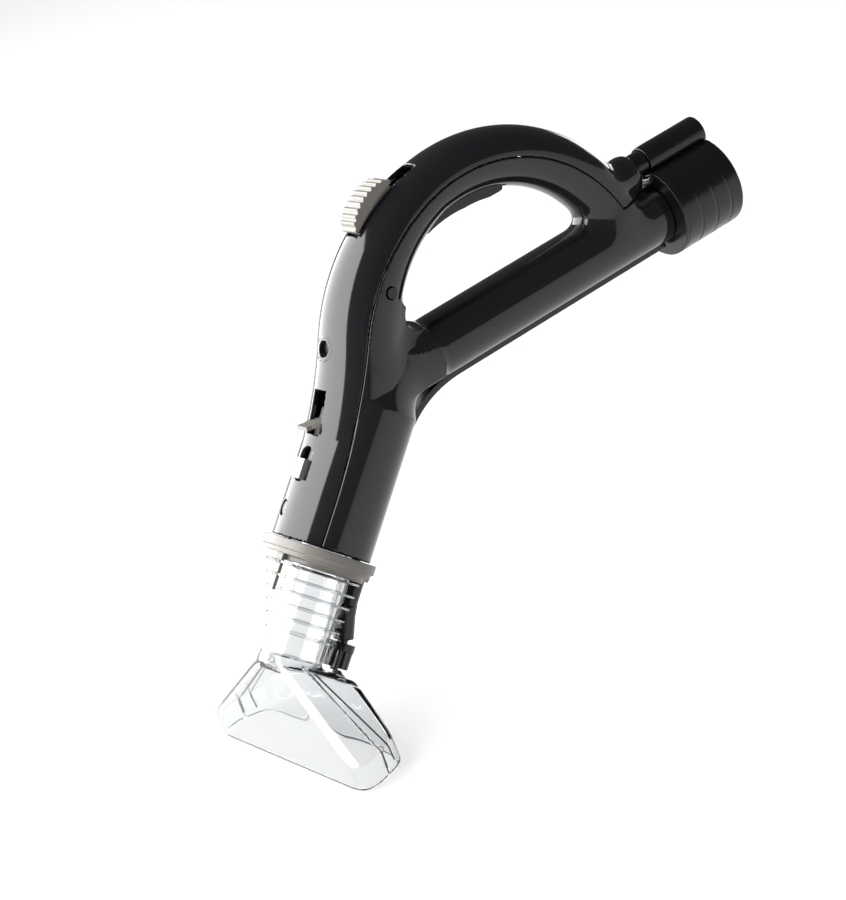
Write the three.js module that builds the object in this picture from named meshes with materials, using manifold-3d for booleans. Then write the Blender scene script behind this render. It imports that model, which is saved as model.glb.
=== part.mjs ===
// Hand tool of a spray-extraction carpet cleaner: a D-handle, a clear upholstery
// nozzle and the end of the hose connector. Millimetres, +Z up.
// The origin is the middle of the nozzle's mouth. The mouth lies on Z = 0 and the
// straight suction strut of the handle runs along +X, parallel to it. Y = 0 is the
// plane of symmetry.
import * as THREE from "three";
import Module from "manifold-3d";
import { ConvexGeometry } from "three/addons/geometries/ConvexGeometry.js";
import { mergeVertices } from "three/addons/utils/BufferGeometryUtils.js";

const wasm = await Module();
wasm.setup();

// ---- Driving dimensions -------------------------------------------------------
const GAP = 0.3; // clearance between pieces that touch
const SLIDE_GAP = 0.4; // clearance around pieces that slide

// Neck of the handle: a straight tube that leans over the mouth.
const NECK_LEAN = 45; // degrees between the neck axis and the floor
const NECK_FOOT_X = -39.5; // where the neck axis meets the floor
const NECK_RADIUS = 22;
const NECK_START = 109.8; // along the neck axis, from the floor
const WALL = 2.4;

// Grip: an arc over the hand opening, thinner than the neck.
const BEND_RADIUS = 194; // slow bend between the neck and the arc
const BEND_START = 126; // along the neck axis
const ARC_TURN = 67; // degrees of slope where the arc starts
const ARC_RADIUS = 75.5;
const ARC_END = 18; // polar angle at which the arc is inside the strut
const GRIP_RADIUS = 13.4;
const THINNEST_AT = 100; // polar angle from which the grip keeps that radius

// Strut: the straight suction tube under the hand.
const STRUT_RADIUS = 14;
const STRUT_WALL = 2.2;
const STRUT_Z = 130.2;
const STRUT_END_X = 256;

// Nozzle.
const MOUTH_WIDTH = 120;
const MOUTH_DEPTH = 27;
const FRONT_CORNER = 7;
const REAR_CORNER = 12;
const SHOULDER_X = 17.6; // the fan's rear shoulder: how far back, half its width, how high
const SHOULDER_HALF = 27;
const SHOULDER_Z = 29.5;
const RIM_HEIGHT = 12; // straight part above the mouth
const CLEAR_WALL = 2.2;
const TUBE_RADIUS = 13.5; // neck of the nozzle
const TUBE_OFFSET = 2.8; // the nozzle's neck lies behind the handle's neck axis
const SPIGOT_RADIUS = 11.8; // the neck's upper end, inside the handle
const SPIGOT_START = 104;
const TUBE_START = 60; // along the neck axis
const TUBE_END = 137;
const NUT_LOW = 63;
const NUT_HIGH = 74;
const NUT_RADIUS = 6.2;
const NUT_SHIFT = 4; // the nut lies this much further back than the pipe
const FIN_COUNT = 6;
const FIN_FIRST = 99.2;
const FIN_PITCH = 5.5;
const FIN_RADIUS = 20.9;
const FIN_TAPER = 1.06;
const FIN_SHIFT = 0.78; // each lower fin sits this much further back
const FIN_BACK = -3.1; // the first fin's centre, from the nozzle neck's axis
const FIN_THICK = 1.2;

// Collar that closes the lower end of the handle.
const COLLAR_RADIUS = 25;
const COLLAR_THICK = 6.6;
const SKIRT_RADIUS = 19.2;
const SKIRT_LENGTH = 2.5;
const SLEEVE_LENGTH = 15;

// Suction duct inside the handle.
const DUCT_RADIUS = 13.6;
const DUCT_WALL = 1.3;
const STRUT_DUCT_RADIUS = 11.2;
const DUCT_BEND = 45;

// Solution line.
const SPRAY_PIPE_RADIUS = 4.6;
const SPRAY_PIPE_OFFSET = 21.4; // behind the neck axis
const SOCKET_OFFSET = 18.6; // of the tube socket above it, inside the handle
const FEED_RADIUS = 1.6;
const STUB_RADIUS = 6;
const STUB_Z = 154.3;
const SLEEVE_RADIUS = 7.2;
const CUFF_RADIUS = 21.5;
const CUFF_END_X = 292;

// Moving pieces.
const PIN_RADIUS = 2.4;
const PIN_ANGLE = 140; // polar angle of the trigger pin
const PIN_OFFSET = -3; // inside the grip's centre line
const TRIGGER_HALF = 5;
const TRIGGER_FROM = 70;
const TRIGGER_TO = 113;
const TRIGGER_DROP = 3.4; // how far it stands out of the grip
const SLIDER_FROM = 109.8; // polar angles of the thumb slide
const SLIDER_TO = 126.8;
const SLIDER_TRAVEL = 8;
const SLIDER_HALF = 5.6;
const SLIDER_HEIGHT = 5.6;
const SLIDER_RIBS = 10;
const LATCH_HALF = 2.2;
const LATCH_THICK = 1.6;
const LATCH_OFFSET = -18; // in front of the neck axis
const LATCH_TIP = 87; // along the neck axis
const LATCH_TOP = 163;
const LATCH_TRAVEL = 5;
const SCREW_RADIUS = 3;
const SHANK_RADIUS = 1.4;

const STEPS = 24; // sides of the large round sections
const CORNER_STEPS = 5;

// ---- Placing ---------------------------------------------------------------------------
const rad = THREE.MathUtils.degToRad;
const v = (x, y, z) => new THREE.Vector3(x, y, z);
const lean = rad(NECK_LEAN);

// Neck frame: local X points to the rear, local Z up the neck axis.
const neckFrame = new THREE.Matrix4().makeBasis(
  v(Math.sin(lean), 0, -Math.cos(lean)),
  v(0, 1, 0),
  v(Math.cos(lean), 0, Math.sin(lean)),
).setPosition(NECK_FOOT_X, 0, 0);
const onNeck = (n, y, s) => v(n, y, s).applyMatrix4(neckFrame);

// The arc's centre follows from the neck line and the slow bend's radius.
const turn = rad(ARC_TURN);
const bendRise = BEND_RADIUS * (Math.cos(lean) - Math.cos(turn));
const bendRun = BEND_RADIUS * (Math.sin(turn) - Math.sin(lean));
const bendFoot = onNeck(0, 0, BEND_START);
const arcCentre = v(
  bendFoot.x + bendRun + ARC_RADIUS * Math.sin(turn),
  0,
  bendFoot.z + bendRise - ARC_RADIUS * Math.cos(turn),
);
// A point at a radius and polar angle about the arc's centre.
const onArc = (radius, angle, y = 0) => v(
  arcCentre.x + radius * Math.cos(rad(angle)), y, arcCentre.z + radius * Math.sin(rad(angle)),
);

// Stations along the handle: centre, outward normal, radius and parting offset.
const bendLength = BEND_RADIUS * (turn - lean);
const taperLength = bendLength + ARC_RADIUS * (turn - rad(THINNEST_AT - 90));
const radiusAt = (run) => THREE.MathUtils.lerp(
  NECK_RADIUS, GRIP_RADIUS, THREE.MathUtils.clamp(run / taperLength, 0, 1),
);
const PARTING_NECK = 12; // the parting line lies this far in front of the neck axis
const partingAt = (run) => PARTING_NECK * (1 - THREE.MathUtils.smoothstep(run, 0, taperLength));

function handleStations(from = NECK_START, arcEnd = ARC_END) {
  const list = [];
  const add = (centre, slope, run) => list.push({
    centre,
    normal: v(-Math.sin(slope), 0, Math.cos(slope)),
    radius: radiusAt(run),
    parting: partingAt(run),
  });
  for (let i = 0; i < 2; i += 1) {
    add(onNeck(0, 0, THREE.MathUtils.lerp(from, BEND_START, i / 2)), lean, 0);
  }
  const bendSteps = 5;
  for (let i = 0; i < bendSteps; i += 1) {
    const slope = THREE.MathUtils.lerp(lean, turn, i / bendSteps);
    add(
      v(
        bendFoot.x + BEND_RADIUS * (Math.sin(slope) - Math.sin(lean)), 0,
        bendFoot.z + BEND_RADIUS * (Math.cos(lean) - Math.cos(slope)),
      ),
      slope, BEND_RADIUS * (slope - lean),
    );
  }
  const arcSteps = 14;
  for (let i = 0; i <= arcSteps; i += 1) {
    const slope = THREE.MathUtils.lerp(turn, rad(arcEnd - 90), i / arcSteps);
    add(onArc(ARC_RADIUS, 90 + THREE.MathUtils.radToDeg(slope)), slope,
      bendLength + ARC_RADIUS * (turn - slope));
  }
  return list;
}

// ---- Solids ----------------------------------------------------------------------------
function solid(geometry) {
  const bare = geometry.index ? geometry.toNonIndexed() : geometry.clone();
  for (const name of Object.keys(bare.attributes)) {
    if (name !== "position") bare.deleteAttribute(name);
  }
  const merged = mergeVertices(bare, 1e-4);
  return new wasm.Manifold(new wasm.Mesh({
    numProp: 3,
    vertProperties: new Float32Array(merged.attributes.position.array),
    triVerts: new Uint32Array(merged.index.array),
  }));
}

function geometryOf(body) {
  const mesh = body.getMesh();
  const geometry = new THREE.BufferGeometry();
  geometry.setAttribute("position", new THREE.BufferAttribute(mesh.vertProperties, 3));
  geometry.setIndex(new THREE.BufferAttribute(mesh.triVerts, 1));
  geometry.computeVertexNormals();
  return geometry;
}

// A closed skin through rings of equal length, with flat caps.
function loft(rings) {
  const sides = rings[0].length;
  const position = rings.flat().flatMap((p) => p.toArray());
  const index = [];
  for (let i = 0; i < rings.length - 1; i += 1) {
    const a = i * sides;
    const b = a + sides;
    for (let j = 0; j < sides; j += 1) {
      const k = (j + 1) % sides;
      index.push(a + j, b + k, a + k, a + j, b + j, b + k);
    }
  }
  const top = (rings.length - 1) * sides;
  for (let j = 1; j < sides - 1; j += 1) {
    index.push(0, j, j + 1, top, top + j + 1, top + j);
  }
  const geometry = new THREE.BufferGeometry();
  geometry.setAttribute("position", new THREE.Float32BufferAttribute(position, 3));
  geometry.setIndex(index);
  return solid(geometry);
}

// Round sections across stations in the Y = 0 plane.
function tubeThrough(stations, grow = 0, sides = STEPS) {
  return loft(stations.map(({ centre, normal, radius }) => {
    const ring = [];
    for (let j = 0; j < sides; j += 1) {
      const a = (j / sides) * 2 * Math.PI;
      const r = radius + grow;
      ring.push(centre.clone().addScaledVector(normal, r * Math.cos(a)).add(v(0, r * Math.sin(a), 0)));
    }
    return ring;
  }));
}

// A cylinder or cone between two points.
function rod(from, to, radius, sides = 20, endRadius = radius) {
  const length = from.distanceTo(to);
  const geometry = new THREE.CylinderGeometry(endRadius, radius, length, sides);
  geometry.translate(0, length / 2, 0);
  geometry.applyQuaternion(new THREE.Quaternion().setFromUnitVectors(
    v(0, 1, 0), to.clone().sub(from).normalize(),
  ));
  geometry.translate(from.x, from.y, from.z);
  return solid(geometry);
}

// A box given by its lowest and highest corner, in a frame.
function block(low, high, frame = new THREE.Matrix4()) {
  const size = high.clone().sub(low);
  const geometry = new THREE.BoxGeometry(size.x, size.y, size.z);
  geometry.translate(...low.clone().add(high).multiplyScalar(0.5).toArray());
  return solid(geometry.applyMatrix4(frame));
}
const neckBlock = (n0, n1, half, s0, s1) => block(v(n0, -half, s0), v(n1, half, s1), neckFrame);

// A solid of revolution about the neck axis, from [radius, height] pairs.
function neckLathe(profile) {
  const geometry = new THREE.LatheGeometry(
    profile.map(([r, h]) => new THREE.Vector2(r, h)), STEPS,
  );
  geometry.rotateX(Math.PI / 2);
  return solid(geometry.applyMatrix4(neckFrame));
}
const ringProfile = (inner, outer, low, high) => [
  [inner, low], [outer, low], [outer, high], [inner, high], [inner, low],
];

// A flat outline in the XZ plane, made half a width thick on both sides of Y = 0.
function slab(points, half) {
  const shape = new THREE.Shape(points.map((p) => new THREE.Vector2(p.x, p.z)));
  const geometry = new THREE.ExtrudeGeometry(shape, { depth: 2 * half, bevelEnabled: false });
  geometry.rotateX(Math.PI / 2);
  geometry.translate(0, half, 0);
  return solid(geometry);
}

// The outline of a band about the arc's centre.
function bandOutline(inner, outer, from, to, steps = 8) {
  const points = [];
  for (let i = 0; i <= steps; i += 1) points.push(onArc(outer, from + ((to - from) * i) / steps));
  for (let i = steps; i >= 0; i -= 1) points.push(onArc(inner, from + ((to - from) * i) / steps));
  return points;
}

// A round bar along a smooth line through points.
function cordAlong(points, radius, steps, sides) {
  const curve = points instanceof THREE.Curve
    ? points : new THREE.CatmullRomCurve3(points, false, "centripetal");
  const shape = new THREE.Shape();
  shape.absarc(0, 0, radius, 0, 2 * Math.PI);
  return solid(new THREE.ExtrudeGeometry(shape, {
    steps, extrudePath: curve, curveSegments: sides / 2, bevelEnabled: false,
  }));
}

const group = new THREE.Group();
function place(name, body, { color, roughness = 0.4, metalness = 0, opacity = 1 }) {
  const mesh = new THREE.Mesh(geometryOf(body), new THREE.MeshStandardMaterial({
    color, roughness, metalness, opacity, transparent: opacity < 1,
  }));
  mesh.name = name;
  group.add(mesh);
}

const GLOSS = { color: 0x33353a, roughness: 0.18 };
const BLACK = { color: 0x141416, roughness: 0.35 };
const SATIN = { color: 0xa39d95, roughness: 0.42, metalness: 0.3 };
const CLEAR = { color: 0xe8ecee, roughness: 0.06, opacity: 0.35 };
const STEEL = { color: 0xb5b8bb, roughness: 0.3, metalness: 1 };
const RUBBER = { color: 0x1b1b1b, roughness: 0.8 };
const WHITE = { color: 0xd9d8d2, roughness: 0.5 };

// ---- Suction duct ----------------------------------------------------------------------
// It starts on the nozzle neck's axis, behind the handle's neck axis.
const ductMeet = STRUT_Z / Math.sin(lean) + TUBE_OFFSET / Math.tan(lean);
const meet = onNeck(TUBE_OFFSET, 0, ductMeet);
const bendTangent = DUCT_BEND * Math.tan(lean / 2);
const ductStart = NECK_START + SLEEVE_LENGTH + GAP;
function ductStations(grow) {
  const list = [];
  const add = (centre, slope, radius) => list.push({
    centre, normal: v(-Math.sin(slope), 0, Math.cos(slope)), radius: radius + grow,
  });
  add(onNeck(TUBE_OFFSET, 0, ductStart), lean, DUCT_RADIUS);
  add(onNeck(TUBE_OFFSET, 0, TUBE_END + 4), lean, DUCT_RADIUS);
  add(onNeck(TUBE_OFFSET, 0, ductMeet - bendTangent), lean, STRUT_DUCT_RADIUS);
  const centre = v(meet.x + bendTangent, 0, STRUT_Z - DUCT_BEND);
  for (let i = 1; i <= 5; i += 1) {
    const slope = lean * (1 - i / 5);
    add(
      centre.clone().add(v(-DUCT_BEND * Math.sin(slope), 0, DUCT_BEND * Math.cos(slope))),
      slope, STRUT_DUCT_RADIUS,
    );
  }
  add(v(STRUT_END_X + 4, 0, STRUT_Z), 0, STRUT_DUCT_RADIUS);
  return list;
}
const ductOuter = tubeThrough(ductStations(0), 0, 24);
const ductInnerList = ductStations(-DUCT_WALL);
ductInnerList[0].centre = onNeck(TUBE_OFFSET, 0, ductStart - 1);
ductInnerList.at(-1).centre = v(STRUT_END_X + 5, 0, STRUT_Z);
place("suction_duct", ductOuter.subtract(tubeThrough(ductInnerList, 0, 24)), BLACK);

// ---- Handle shells ---------------------------------------------------------------------
const stations = handleStations();
const strutFrom = v(onNeck(0, 0, 184).x - 4, 0, STRUT_Z);
const strutTo = v(STRUT_END_X, 0, STRUT_Z);

// The web fills the corner between the arc and the strut.
function webOutline(shrink) {
  const top = STRUT_Z + STRUT_RADIUS - shrink;
  const heel = onArc(ARC_RADIUS - 8, 158);
  const left = onArc(ARC_RADIUS - 16 + shrink, 140);
  const curve = new THREE.QuadraticBezierCurve3(
    left, v(left.x - 1, 0, top + 1), v(left.x + 15, 0, top - 1),
  );
  return [
    heel, onArc(ARC_RADIUS, 145), ...curve.getPoints(8),
    v(left.x + 15, 0, STRUT_Z), v(heel.x, 0, STRUT_Z),
  ];
}
const WEB_HALF = 11;
const FAIRING_RADIUS = 9.6;
const FAIRING_START_X = 226;
const FAIRING_END_X = 252;
const fairingZ = STUB_Z - 1.5;

const NECK_SHOULDER = 174; // along the neck axis: from here the straight neck narrows
const NECK_TOP = 197;
const straightNeck = (grow, from) => rod(
  onNeck(0, 0, from), onNeck(0, 0, NECK_SHOULDER), NECK_RADIUS + grow, STEPS,
).add(rod(
  onNeck(0, 0, NECK_SHOULDER - 0.5), onNeck(0, 0, NECK_TOP + grow),
  NECK_RADIUS + grow, STEPS, STRUT_RADIUS - 2 + grow,
));
const outerBody = tubeThrough(stations)
  .add(straightNeck(0, NECK_START))
  .add(rod(strutFrom, strutTo, STRUT_RADIUS, STEPS))
  .add(slab(webOutline(0), WEB_HALF))
  .add(rod(v(FAIRING_START_X, 0, fairingZ), v(FAIRING_END_X, 0, fairingZ), FAIRING_RADIUS, 20));
const cavity = tubeThrough(handleStations(NECK_START - 4, ARC_END + 8), -WALL)
  .add(tubeThrough(ductStations(2 * GAP), 0, 24))
  .add(straightNeck(-WALL, NECK_START - 4))
  .add(rod(strutFrom, v(STRUT_END_X + 5, 0, STRUT_Z), STRUT_RADIUS - STRUT_WALL, STEPS))
  .add(rod(v(FAIRING_START_X - 6, 0, STUB_Z), v(FAIRING_END_X + 5, 0, STUB_Z), STUB_RADIUS + GAP, 20));

// Everything outside the parting line, which follows the handle and then the strut.
function partingRegion(shift) {
  const along = (distance) => stations.slice(0, -3).map(
    (s) => s.centre.clone().addScaledVector(s.normal, distance(s)),
  );
  const inner = along((s) => s.parting + shift);
  const outer = along(() => 40);
  const first = onNeck(-PARTING_NECK - shift, 0, NECK_START - 20);
  const firstOut = onNeck(-60, 0, NECK_START - 20);
  const level = STRUT_Z + STRUT_RADIUS + 0.9 + shift;
  return slab([
    first, ...inner, v(STRUT_END_X - 13, 0, level), v(STRUT_END_X + 20, 0, level),
    v(STRUT_END_X + 20, 0, level + 50), ...outer.reverse(), firstOut,
  ], 60);
}

// Openings in the front shell.
const LATCH_SLOT = [154.5, 173]; // along the neck axis
const BUTTON_SLOT = [134, 149];
const SLOT_HALF = 4.2;
const LOWER_SCREW = { s: 121.5, y: 5 };
const upperScrewSlope = 158.5; // polar angle of the upper screw on the arc line
const upperScrew = {
  outer: onArc(ARC_RADIUS + 22, upperScrewSlope), inner: onArc(ARC_RADIUS + 2, upperScrewSlope),
};
const slideSlot = slab(bandOutline(ARC_RADIUS + 6, ARC_RADIUS + 30, SLIDER_FROM - SLIDER_TRAVEL - 1,
  SLIDER_TO + 0.6), SLIDER_HALF - 1.5);
const lowerScrewTurn = Math.asin(LOWER_SCREW.y / NECK_RADIUS);
const lowerScrewDirection = v(-Math.cos(lowerScrewTurn), Math.sin(lowerScrewTurn), 0);
const lowerScrewAt = (r) => onNeck(
  lowerScrewDirection.x * r, lowerScrewDirection.y * r, LOWER_SCREW.s,
);

const shell = outerBody.subtract(cavity);
const springSeatLow = ARC_RADIUS - 0.8;
const SPRING_RADIUS = 3;
const bossRadius = SCREW_RADIUS + 1.7;
const upperBoss = rod(onArc(ARC_RADIUS + 9.5, upperScrewSlope), upperScrew.outer, bossRadius)
  .intersect(outerBody);
const front = shell.intersect(partingRegion(GAP / 2))
  .add(upperBoss)
  .add(rod(onArc(springSeatLow, 90), onArc(ARC_RADIUS + GRIP_RADIUS - 1, 90), SPRING_RADIUS + 0.6))
  .subtract(rod(onArc(ARC_RADIUS + 13, upperScrewSlope), upperScrew.outer, SCREW_RADIUS + GAP))
  .subtract(rod(upperScrew.inner, upperScrew.outer, SHANK_RADIUS + GAP, 12))
  .subtract(neckBlock(-30, -16, SLOT_HALF, ...LATCH_SLOT))
  .subtract(neckBlock(-30, -16, SLOT_HALF, ...BUTTON_SLOT))
  .subtract(rod(lowerScrewAt(NECK_RADIUS - 6), lowerScrewAt(NECK_RADIUS + 6), SCREW_RADIUS + GAP))
  .subtract(slideSlot);
place("front_shell", front, GLOSS);

// The rear shell has the trigger's slot, the pin's holes, a rib that takes the upper
// screw, and a groove for the solution line's socket.
const pinAt = (y) => onArc(ARC_RADIUS + PIN_OFFSET, PIN_ANGLE, y);
const triggerSlot = slab(bandOutline(ARC_RADIUS - 24, ARC_RADIUS - 8, TRIGGER_FROM - 1.2,
  TRIGGER_TO + 5), TRIGGER_HALF + 0.6);
const ribFrame = new THREE.Matrix4().makeBasis(
  v(Math.cos(rad(upperScrewSlope)), 0, Math.sin(rad(upperScrewSlope))),
  v(0, 1, 0),
  v(-Math.sin(rad(upperScrewSlope)), 0, Math.cos(rad(upperScrewSlope))),
).setPosition(arcCentre);
const screwRib = block(v(ARC_RADIUS + 3, -19, -4), v(ARC_RADIUS + 5.4, 6, 4), ribFrame)
  .intersect(outerBody);
const SOCKET_RADIUS = 3;
const SOCKET_END = 121;
const rear = shell.subtract(partingRegion(-GAP / 2))
  .add(screwRib)
  .subtract(rod(upperScrew.inner, upperScrew.outer, SHANK_RADIUS + GAP, 12))
  .subtract(triggerSlot)
  .subtract(rod(pinAt(-30), pinAt(30), PIN_RADIUS + GAP, 16))
  .subtract(neckBlock(15, 21.9, SOCKET_RADIUS + GAP, NECK_START - 5, SOCKET_END));
place("rear_shell", rear, GLOSS);

// Cover strip down the back of the neck, round the elbow and along the strut.
const STRIP_HALF = 4;
const STRIP_PROUD = 2.2;
function stripLine(offset) {
  const start = onNeck(NECK_RADIUS + offset, 0, NECK_START + 1);
  const low = STRUT_Z - STRUT_RADIUS - offset;
  const corner = v(low + NECK_FOOT_X + (NECK_RADIUS + offset) / Math.sin(lean), 0, low);
  const before = corner.clone().lerp(start, 0.28);
  const bend = new THREE.QuadraticBezierCurve3(before, corner, v(corner.x + 22, 0, low));
  return [start, ...bend.getPoints(6), v(STRUT_END_X - 2, 0, low)];
}
const stripSlab = slab([...stripLine(STRIP_PROUD), ...stripLine(-2).reverse()], STRIP_HALF);
place("back_strip", stripSlab.subtract(tubeThrough(stations, GAP))
  .subtract(straightNeck(GAP, NECK_START - 5))
  .subtract(rod(strutFrom, v(STRUT_END_X + 20, 0, STRUT_Z), STRUT_RADIUS + GAP, STEPS)), BLACK);

// ---- Collar ----------------------------------------------------------------------------
const collarTop = NECK_START - GAP;
const collarLow = collarTop - COLLAR_THICK;
const BOSS_WALL = 1.6;
// The flange closes the handle. A half sleeve stands up inside the front of the shells.
const flange = neckLathe([
  [0, collarLow], [COLLAR_RADIUS - 1, collarLow], [COLLAR_RADIUS, collarLow + 1],
  [COLLAR_RADIUS, collarTop - 1.2], [COLLAR_RADIUS - 1, collarTop], [0, collarTop],
]);
const halfSleeve = neckLathe(ringProfile(
  NECK_RADIUS - WALL - GAP - 2, NECK_RADIUS - WALL - GAP, collarTop - 1, collarTop + SLEEVE_LENGTH,
)).subtract(neckBlock(-2, 40, 40, collarTop, collarTop + 40));
const skirt = rod(onNeck(TUBE_OFFSET, 0, collarLow - SKIRT_LENGTH), onNeck(TUBE_OFFSET, 0, collarLow + 1),
  SKIRT_RADIUS, STEPS);
const pipeAt = (s) => onNeck(SPRAY_PIPE_OFFSET, 0, s);
const tubeAt = (s) => onNeck(TUBE_OFFSET, 0, s);
const collar = flange.add(halfSleeve).add(skirt)
  .add(rod(pipeAt(collarLow), pipeAt(collarTop - 1), SPRAY_PIPE_RADIUS + BOSS_WALL))
  .subtract(rod(tubeAt(NECK_START - 30), tubeAt(SPIGOT_START + 0.2), TUBE_RADIUS + SLIDE_GAP, STEPS))
  .subtract(rod(tubeAt(SPIGOT_START), tubeAt(NECK_START + 5), SPIGOT_RADIUS + SLIDE_GAP, STEPS))
  .subtract(neckBlock(LATCH_OFFSET - LATCH_THICK / 2 - SLIDE_GAP, -16.6, LATCH_HALF + SLIDE_GAP,
    NECK_START - 30, NECK_START + 30))
  .subtract(rod(pipeAt(NECK_START - 30), pipeAt(NECK_START + 1), SPRAY_PIPE_RADIUS + GAP))
  .subtract(rod(lowerScrewAt(14), lowerScrewAt(NECK_RADIUS + 6), SHANK_RADIUS + GAP, 12))
  .subtract(rod(
    onNeck(SOCKET_OFFSET, 0, NECK_START - 2), onNeck(SOCKET_OFFSET, 0, NECK_START + 5),
    SOCKET_RADIUS, 16,
  ));
place("collar", collar, SATIN);

// ---- Clear nozzle ----------------------------------------------------------------------
const RING_SIDES = 36;
const mouthLow = 1; // the hollow is cut this far past the rim
// The mouth's outline at a height: a rounded rectangle, rounder at the rear.
function mouthOutline(z, inset) {
  const points = [];
  const addCorner = (signX, signY, radius, first) => {
    const x = signX * (MOUTH_DEPTH / 2 - radius);
    const y = signY * (MOUTH_WIDTH / 2 - radius);
    for (let i = 0; i <= CORNER_STEPS; i += 1) {
      const a = rad(first + (90 * i) / CORNER_STEPS);
      points.push(v(x + (radius - inset) * Math.cos(a), y + (radius - inset) * Math.sin(a), z));
    }
  };
  addCorner(1, 1, REAR_CORNER, 0);
  addCorner(-1, 1, FRONT_CORNER, 90);
  addCorner(-1, -1, FRONT_CORNER, 180);
  addCorner(1, -1, REAR_CORNER, 270);
  return points;
}
function neckRing(s, radius) {
  const ring = [];
  for (let j = 0; j < RING_SIDES; j += 1) {
    const a = (j / RING_SIDES) * 2 * Math.PI;
    ring.push(onNeck(TUBE_OFFSET + radius * Math.cos(a), radius * Math.sin(a), s));
  }
  return ring;
}
// The fan is the hull of the straight rim, the foot of the neck and the rear shoulder.
const fanHull = (inset) => solid(new ConvexGeometry([
  ...mouthOutline(inset ? -mouthLow : 0, inset),
  ...mouthOutline(RIM_HEIGHT, inset),
  ...neckRing(TUBE_START, TUBE_RADIUS - inset),
  v(SHOULDER_X - inset, SHOULDER_HALF - inset, SHOULDER_Z - inset / 2),
  v(SHOULDER_X - inset, inset - SHOULDER_HALF, SHOULDER_Z - inset / 2),
]));
const fanOuter = fanHull(0)
  .add(rod(tubeAt(TUBE_START - 0.01), tubeAt(SPIGOT_START), TUBE_RADIUS, RING_SIDES))
  .add(rod(tubeAt(SPIGOT_START - 0.1), tubeAt(TUBE_END), SPIGOT_RADIUS, RING_SIDES));
const fanInner = fanHull(CLEAR_WALL)
  .add(rod(tubeAt(TUBE_START - 0.5), tubeAt(SPIGOT_START - 4), TUBE_RADIUS - CLEAR_WALL, RING_SIDES))
  .add(rod(tubeAt(SPIGOT_START - 4.1), tubeAt(TUBE_END + 2), SPIGOT_RADIUS - CLEAR_WALL + 0.4, RING_SIDES));
let nozzle = fanOuter;
for (let i = 0; i < FIN_COUNT; i += 1) {
  const s = FIN_FIRST - i * FIN_PITCH;
  const radius = FIN_RADIUS - i * FIN_TAPER;
  const middle = TUBE_OFFSET + FIN_BACK + i * FIN_SHIFT;
  let fin = rod(onNeck(middle, 0, s - FIN_THICK / 2), onNeck(middle, 0, s + FIN_THICK / 2), radius, STEPS);
  if (s > LATCH_TIP - 1.5) fin = fin.subtract(neckBlock(-30, -16.6, LATCH_HALF + SLIDE_GAP, s - 3, s + 3));
  nozzle = nozzle.add(fin);
}
const clearedForPipe = rod(
  pipeAt(NUT_HIGH - 1), pipeAt(NECK_START), SPRAY_PIPE_RADIUS + GAP,
);
nozzle = nozzle.subtract(fanInner).subtract(clearedForPipe);

// The rear cover is the part of the fan behind the seam and below the neck.
const SEAM_X = 1;
const SEAM_LEAN = 0.04;
function rearRegion(shift) {
  const seam = (z) => SEAM_X + SEAM_LEAN * z + shift;
  const cut = TUBE_START - 1.5 - shift;
  const a = onNeck(0, 0, cut);
  const topZ = a.z - (seam(a.z) - a.x);
  return slab([
    v(seam(-5), 0, -5), v(seam(topZ), 0, topZ), onNeck(40, 0, cut), v(80, 0, -5),
  ], 90);
}
place("nozzle_front", nozzle.subtract(rearRegion(-GAP / 2)), CLEAR);
place("nozzle_rear", nozzle.intersect(rearRegion(GAP / 2)), CLEAR);

// Seal ring in the duct's mouth, round the end of the nozzle's neck.
const sealFrom = TUBE_END - 8;
const sealRing = rod(tubeAt(sealFrom), tubeAt(sealFrom + 2), DUCT_RADIUS - DUCT_WALL - 0.2, STEPS)
  .subtract(rod(tubeAt(sealFrom - 1), tubeAt(sealFrom + 3), SPIGOT_RADIUS + 0.1, STEPS));
place("neck_seal", sealRing, RUBBER);

// ---- Spray line on the nozzle ----------------------------------------------------------
const pipeTop = NECK_START - 4.6;
const nutAt = (s) => onNeck(SPRAY_PIPE_OFFSET + NUT_SHIFT, 0, s);
const PIPE_STEM_RADIUS = 2.4; // its thin end inside the nut
const PIPE_BORE = 1.3;
const pipeKnee = 88; // along the neck axis: above it the pipe runs straight
place("spray_pipe", rod(pipeAt(pipeKnee), pipeAt(pipeTop), SPRAY_PIPE_RADIUS)
  .add(rod(nutAt(NUT_HIGH + 1.7), pipeAt(pipeKnee + 1.2), SPRAY_PIPE_RADIUS))
  .add(rod(nutAt(NUT_LOW + 2), nutAt(NUT_HIGH + 4), PIPE_STEM_RADIUS))
  .subtract(rod(nutAt(NUT_LOW), nutAt(NUT_HIGH + 1), PIPE_BORE, 12))
  .subtract(rod(nutAt(NUT_HIGH + 0.5), pipeAt(pipeKnee + 0.5), PIPE_BORE, 12))
  .subtract(rod(pipeAt(pipeKnee), pipeAt(pipeTop + 1), PIPE_BORE, 12)), BLACK);
const nozzleClearance = nozzle.add(
  rod(tubeAt(TUBE_START - 9), tubeAt(NUT_HIGH + 2), TUBE_RADIUS + GAP, RING_SIDES),
);
place("union_nut", rod(nutAt(NUT_LOW), nutAt(NUT_HIGH), NUT_RADIUS, 12)
  .subtract(rod(nutAt(NUT_LOW - 1), nutAt(NUT_HIGH + 1), PIPE_STEM_RADIUS + GAP))
  .subtract(nozzleClearance), BLACK);
const JET_LENGTH = 5.5;
const JET_SLANT = 2.2; // its foot lies this much further back
const JET_RADIUS = 1.5;
const jetTop = onNeck(SPRAY_PIPE_OFFSET + NUT_SHIFT + 1, 0, NUT_LOW - 1.8);
const jetEnd = jetTop.clone().add(v(JET_SLANT, 0, -JET_LENGTH));
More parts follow.
